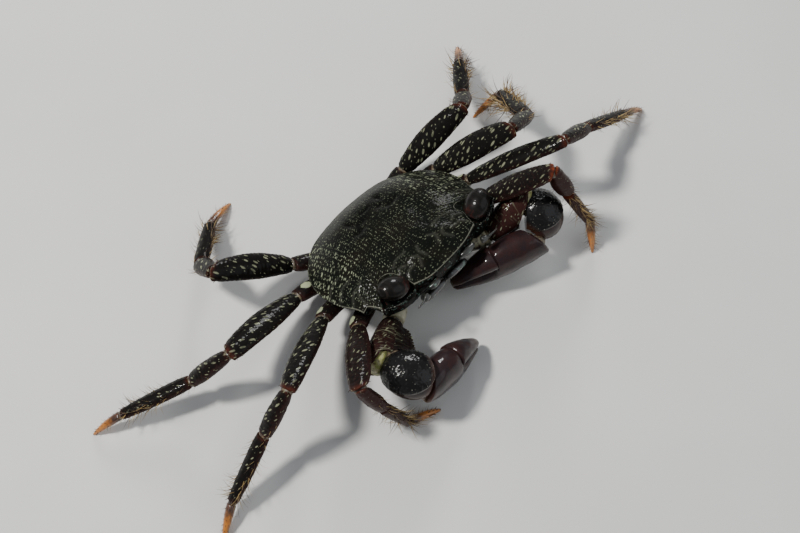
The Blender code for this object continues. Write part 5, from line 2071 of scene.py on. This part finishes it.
    def place(self, shop: Workshop) -> None:
        """Build the arm's pieces.

        Args:
            shop: Takes the pieces.
        """
        word = self.side.word
        axes = self.axes()
        root = limb_skin(tuple(straight(axes["root"], axes["hip"])), self.ischium,
                         np.array((0.0, 0.0, 1.0)), (None, axes["hip_cut"]), 40, 40)
        shade = {"right": 0.25, "left": 0.55}[word]
        root.marks = {"edge": shade + 0 * root.grid[..., 0]}
        shop.add_skin(f"arm_root_{word}", root, "belly", f"claw_ischium_{word}")
        shop.add_joined(f"arm_merus_{word}", self.upper_arm(), f"limb_{word}", f"claw_merus_{word}")
        shop.add_skin(f"arm_carpus_{word}", self.wrist_dome(), "claw", f"claw_carpus_{word}")
        palm, finger = self.hand()
        shop.add_skin(f"arm_palm_{word}", palm, "claw", f"claw_palm_{word}")
        shop.add_skin(f"arm_finger_{word}", finger, "claw", f"claw_finger_{word}")
        soft = np.array(self.soft_way[word][0])
        elbow = self.joint_skin(axes["elbow"] + 0.5 * unit(soft), axes["hip"], axes["middle"], 2.9, 1.7)
        shop.add_skin(f"arm_elbow_skin_{word}", elbow, "skin")
        beside = axes["elbow"] + 2.6 * unit(self.blade_way[word])
        skins = [self.joint_skin(axes["hip"], axes["root"], axes["elbow"], 1.8),
                 self.joint_skin(beside, axes["hip"] + beside - axes["elbow"], axes["middle"], 2.5, 1.4),
                 self.joint_skin(axes["wrist"], axes["middle"], axes["tip"], 1.9, 0.7)]
        shop.add_joined(f"arm_joint_skin_{word}", skins, "dark_skin")

    def joint_skin(self, spot: Array, before: Array, after: Array, radius: float,
                   reach: float = 0.9) -> Skin:
        """Soft skin inside one joint of the arm.

        Args:
            spot: Middle of the joint.
            before: Point inward of it.
            after: Point outward of it.
            radius: Radius of the skin.
            reach: Length to either side.

        Returns:
            The skin.
        """
        back, ahead = unit(spot - before), unit(after - spot)
        path = (spot - back * reach, spot, spot + ahead * reach)
        return limb_skin(path, ((0.0, radius * 0.8, radius * 0.8), (0.5, radius, radius),
                                (1.0, radius * 0.8, radius * 0.8)), np.array((0.0, 0.1, 1.0)),
                         (None, None), 16, 32)


@dataclass
class Studio:
    """Camera at the photograph's angle, pale floor and soft lights."""

    lens: float = 60.0
    elevation_deg: float = 64.61
    azimuth_deg: float = -43.54
    roll_deg: float = 5.24
    distance: float = 279.81
    slide: tuple = (3.58, -3.06)
    sensor: float = 36.0
    floor_half: float = 1.2
    # Name, place and size in metres, power in watts, colour.
    lights: tuple = (("key", (-0.20, 0.22, 0.55), 0.09, 4.2, (1.0, 0.98, 0.95)),
                     ("fill", (0.30, -0.50, 0.45), 0.8, 1.3, (0.92, 0.96, 1.0)),
                     ("rim", (0.45, 0.30, 0.30), 0.16, 1.5, (1.0, 1.0, 1.0)))
    sky: tuple = (0.9, 0.93, 1.0, 1.0)
    sky_strength: float = 0.28

    def axes(self) -> tuple[Array, Array, Array]:
        """Camera's right, up and back directions.

        Returns:
            The three directions.
        """
        e, a, r = (math.radians(v) for v in (self.elevation_deg, self.azimuth_deg, self.roll_deg))
        back = np.array((math.sin(a) * math.cos(e), -math.cos(a) * math.cos(e), math.sin(e)))
        right = unit(np.cross((0, 0, 1), back))
        up = np.cross(back, right)
        return (math.cos(r) * right - math.sin(r) * up, math.sin(r) * right + math.cos(r) * up, back)

    def camera(self) -> None:
        """Add the camera."""
        right, up, back = self.axes()
        spot = back * self.distance + right * self.slide[0] + up * self.slide[1] + np.array(CENTRE_SHIFT)
        data = bpy.data.cameras.new("camera")
        data.lens, data.sensor_width, data.clip_start = self.lens, self.sensor, 0.005
        made = bpy.data.objects.new("camera", data)
        bpy.context.scene.collection.objects.link(made)
        turn = Matrix([[*row] for row in np.stack((right, up, back), axis=1)])
        made.matrix_world = Matrix.Translation(Vector(spot * MM)) @ turn.to_4x4()
        bpy.context.scene.camera = made

    def light(self, name: str, place: tuple, size: float, power: float, colour: tuple) -> None:
        """Add one soft light aimed at the crab (metres).

        Args:
            name: Its name.
            place: Where it stands.
            size: Its diameter.
            power: Watts.
            colour: Its colour.
        """
        data = bpy.data.lights.new(name, "AREA")
        data.shape, data.size, data.energy, data.color = "DISK", size, power, colour
        made = bpy.data.objects.new(name, data)
        turn = (-Vector(place)).to_track_quat("-Z", "Y")
        made.matrix_world = Matrix.Translation(Vector(place)) @ turn.to_matrix().to_4x4()
        bpy.context.scene.collection.objects.link(made)

    def floor(self) -> None:
        """Add the pale floor."""
        half = self.floor_half
        mesh = bpy.data.meshes.new("floor")
        mesh.from_pydata([(-half, -half, 0), (half, -half, 0), (half, half, 0), (-half, half, 0)], [],
                         [(0, 1, 2, 3)])
        board = Board("floor_pale")
        place = board.place()
        colour = board.mix(board.patch(place, 60.0, 0.3, 0.7), (0.66, 0.66, 0.64),
                           (0.70, 0.70, 0.68))
        mesh.materials.append(board.finish(colour, 0.75, None))
        made = bpy.data.objects.new("floor", mesh)
        bpy.context.scene.collection.objects.link(made)

    def build(self) -> None:
        """Build the studio."""
        self.camera()
        self.floor()
        for light in self.lights:
            self.light(*light)
        world = bpy.data.worlds.new("soft")
        world.use_nodes = True
        background = world.node_tree.nodes["Background"]
        background.inputs["Color"].default_value = self.sky
        background.inputs["Strength"].default_value = self.sky_strength
        bpy.context.scene.world = world


def leg_looks() -> dict[str, LegLook]:
    """What sets each leg apart.

    Returns:
        A look for each leg by its name.
    """
    return {"left_2": LegLook(0.35, 0.85, 0.75, 2.6, 0.9, 0.8), "left_3": LegLook(0.2, 0.25, 0.3, 1.0, 1.0),
            "left_4": LegLook(0.15, 0.2, 0.3, 1.5, 1.5), "left_5": LegLook(0.2, 0.25, 0.25, 1.2, 1.1),
            "right_2": LegLook(0.4, 0.2, 0.35, 2.0, 1.0, 0.7), "right_3": LegLook(0.2, 0.2, 0.25, 0.9, 0.8),
            "right_4": LegLook(0.2, 0.2, 0.25, 0.9, 0.8), "right_5": LegLook(0.2, 0.2, 0.2, 1.2, 1.0)}


def main() -> None:
    """Build the crab in the studio."""
    logging.basicConfig(level=logging.INFO, format="%(name)s %(message)s")
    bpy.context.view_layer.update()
    shop, coat = Workshop(Palette()), Coat()
    Carapace().place(shop, coat)
    Underside().place(shop)
    looks = leg_looks()
    for side in Side:
        Eye(side).place(shop)
        Face(side).place(shop)
        Cheliped(side).place(shop)
        for number in (2, 3, 4, 5):
            WalkingLeg(side, number, looks[f"{side.word}_{number}"]).place(shop, coat)
    Studio().build()
    log.info("%d pieces", shop.count)


if __name__ == "__main__":
    main()
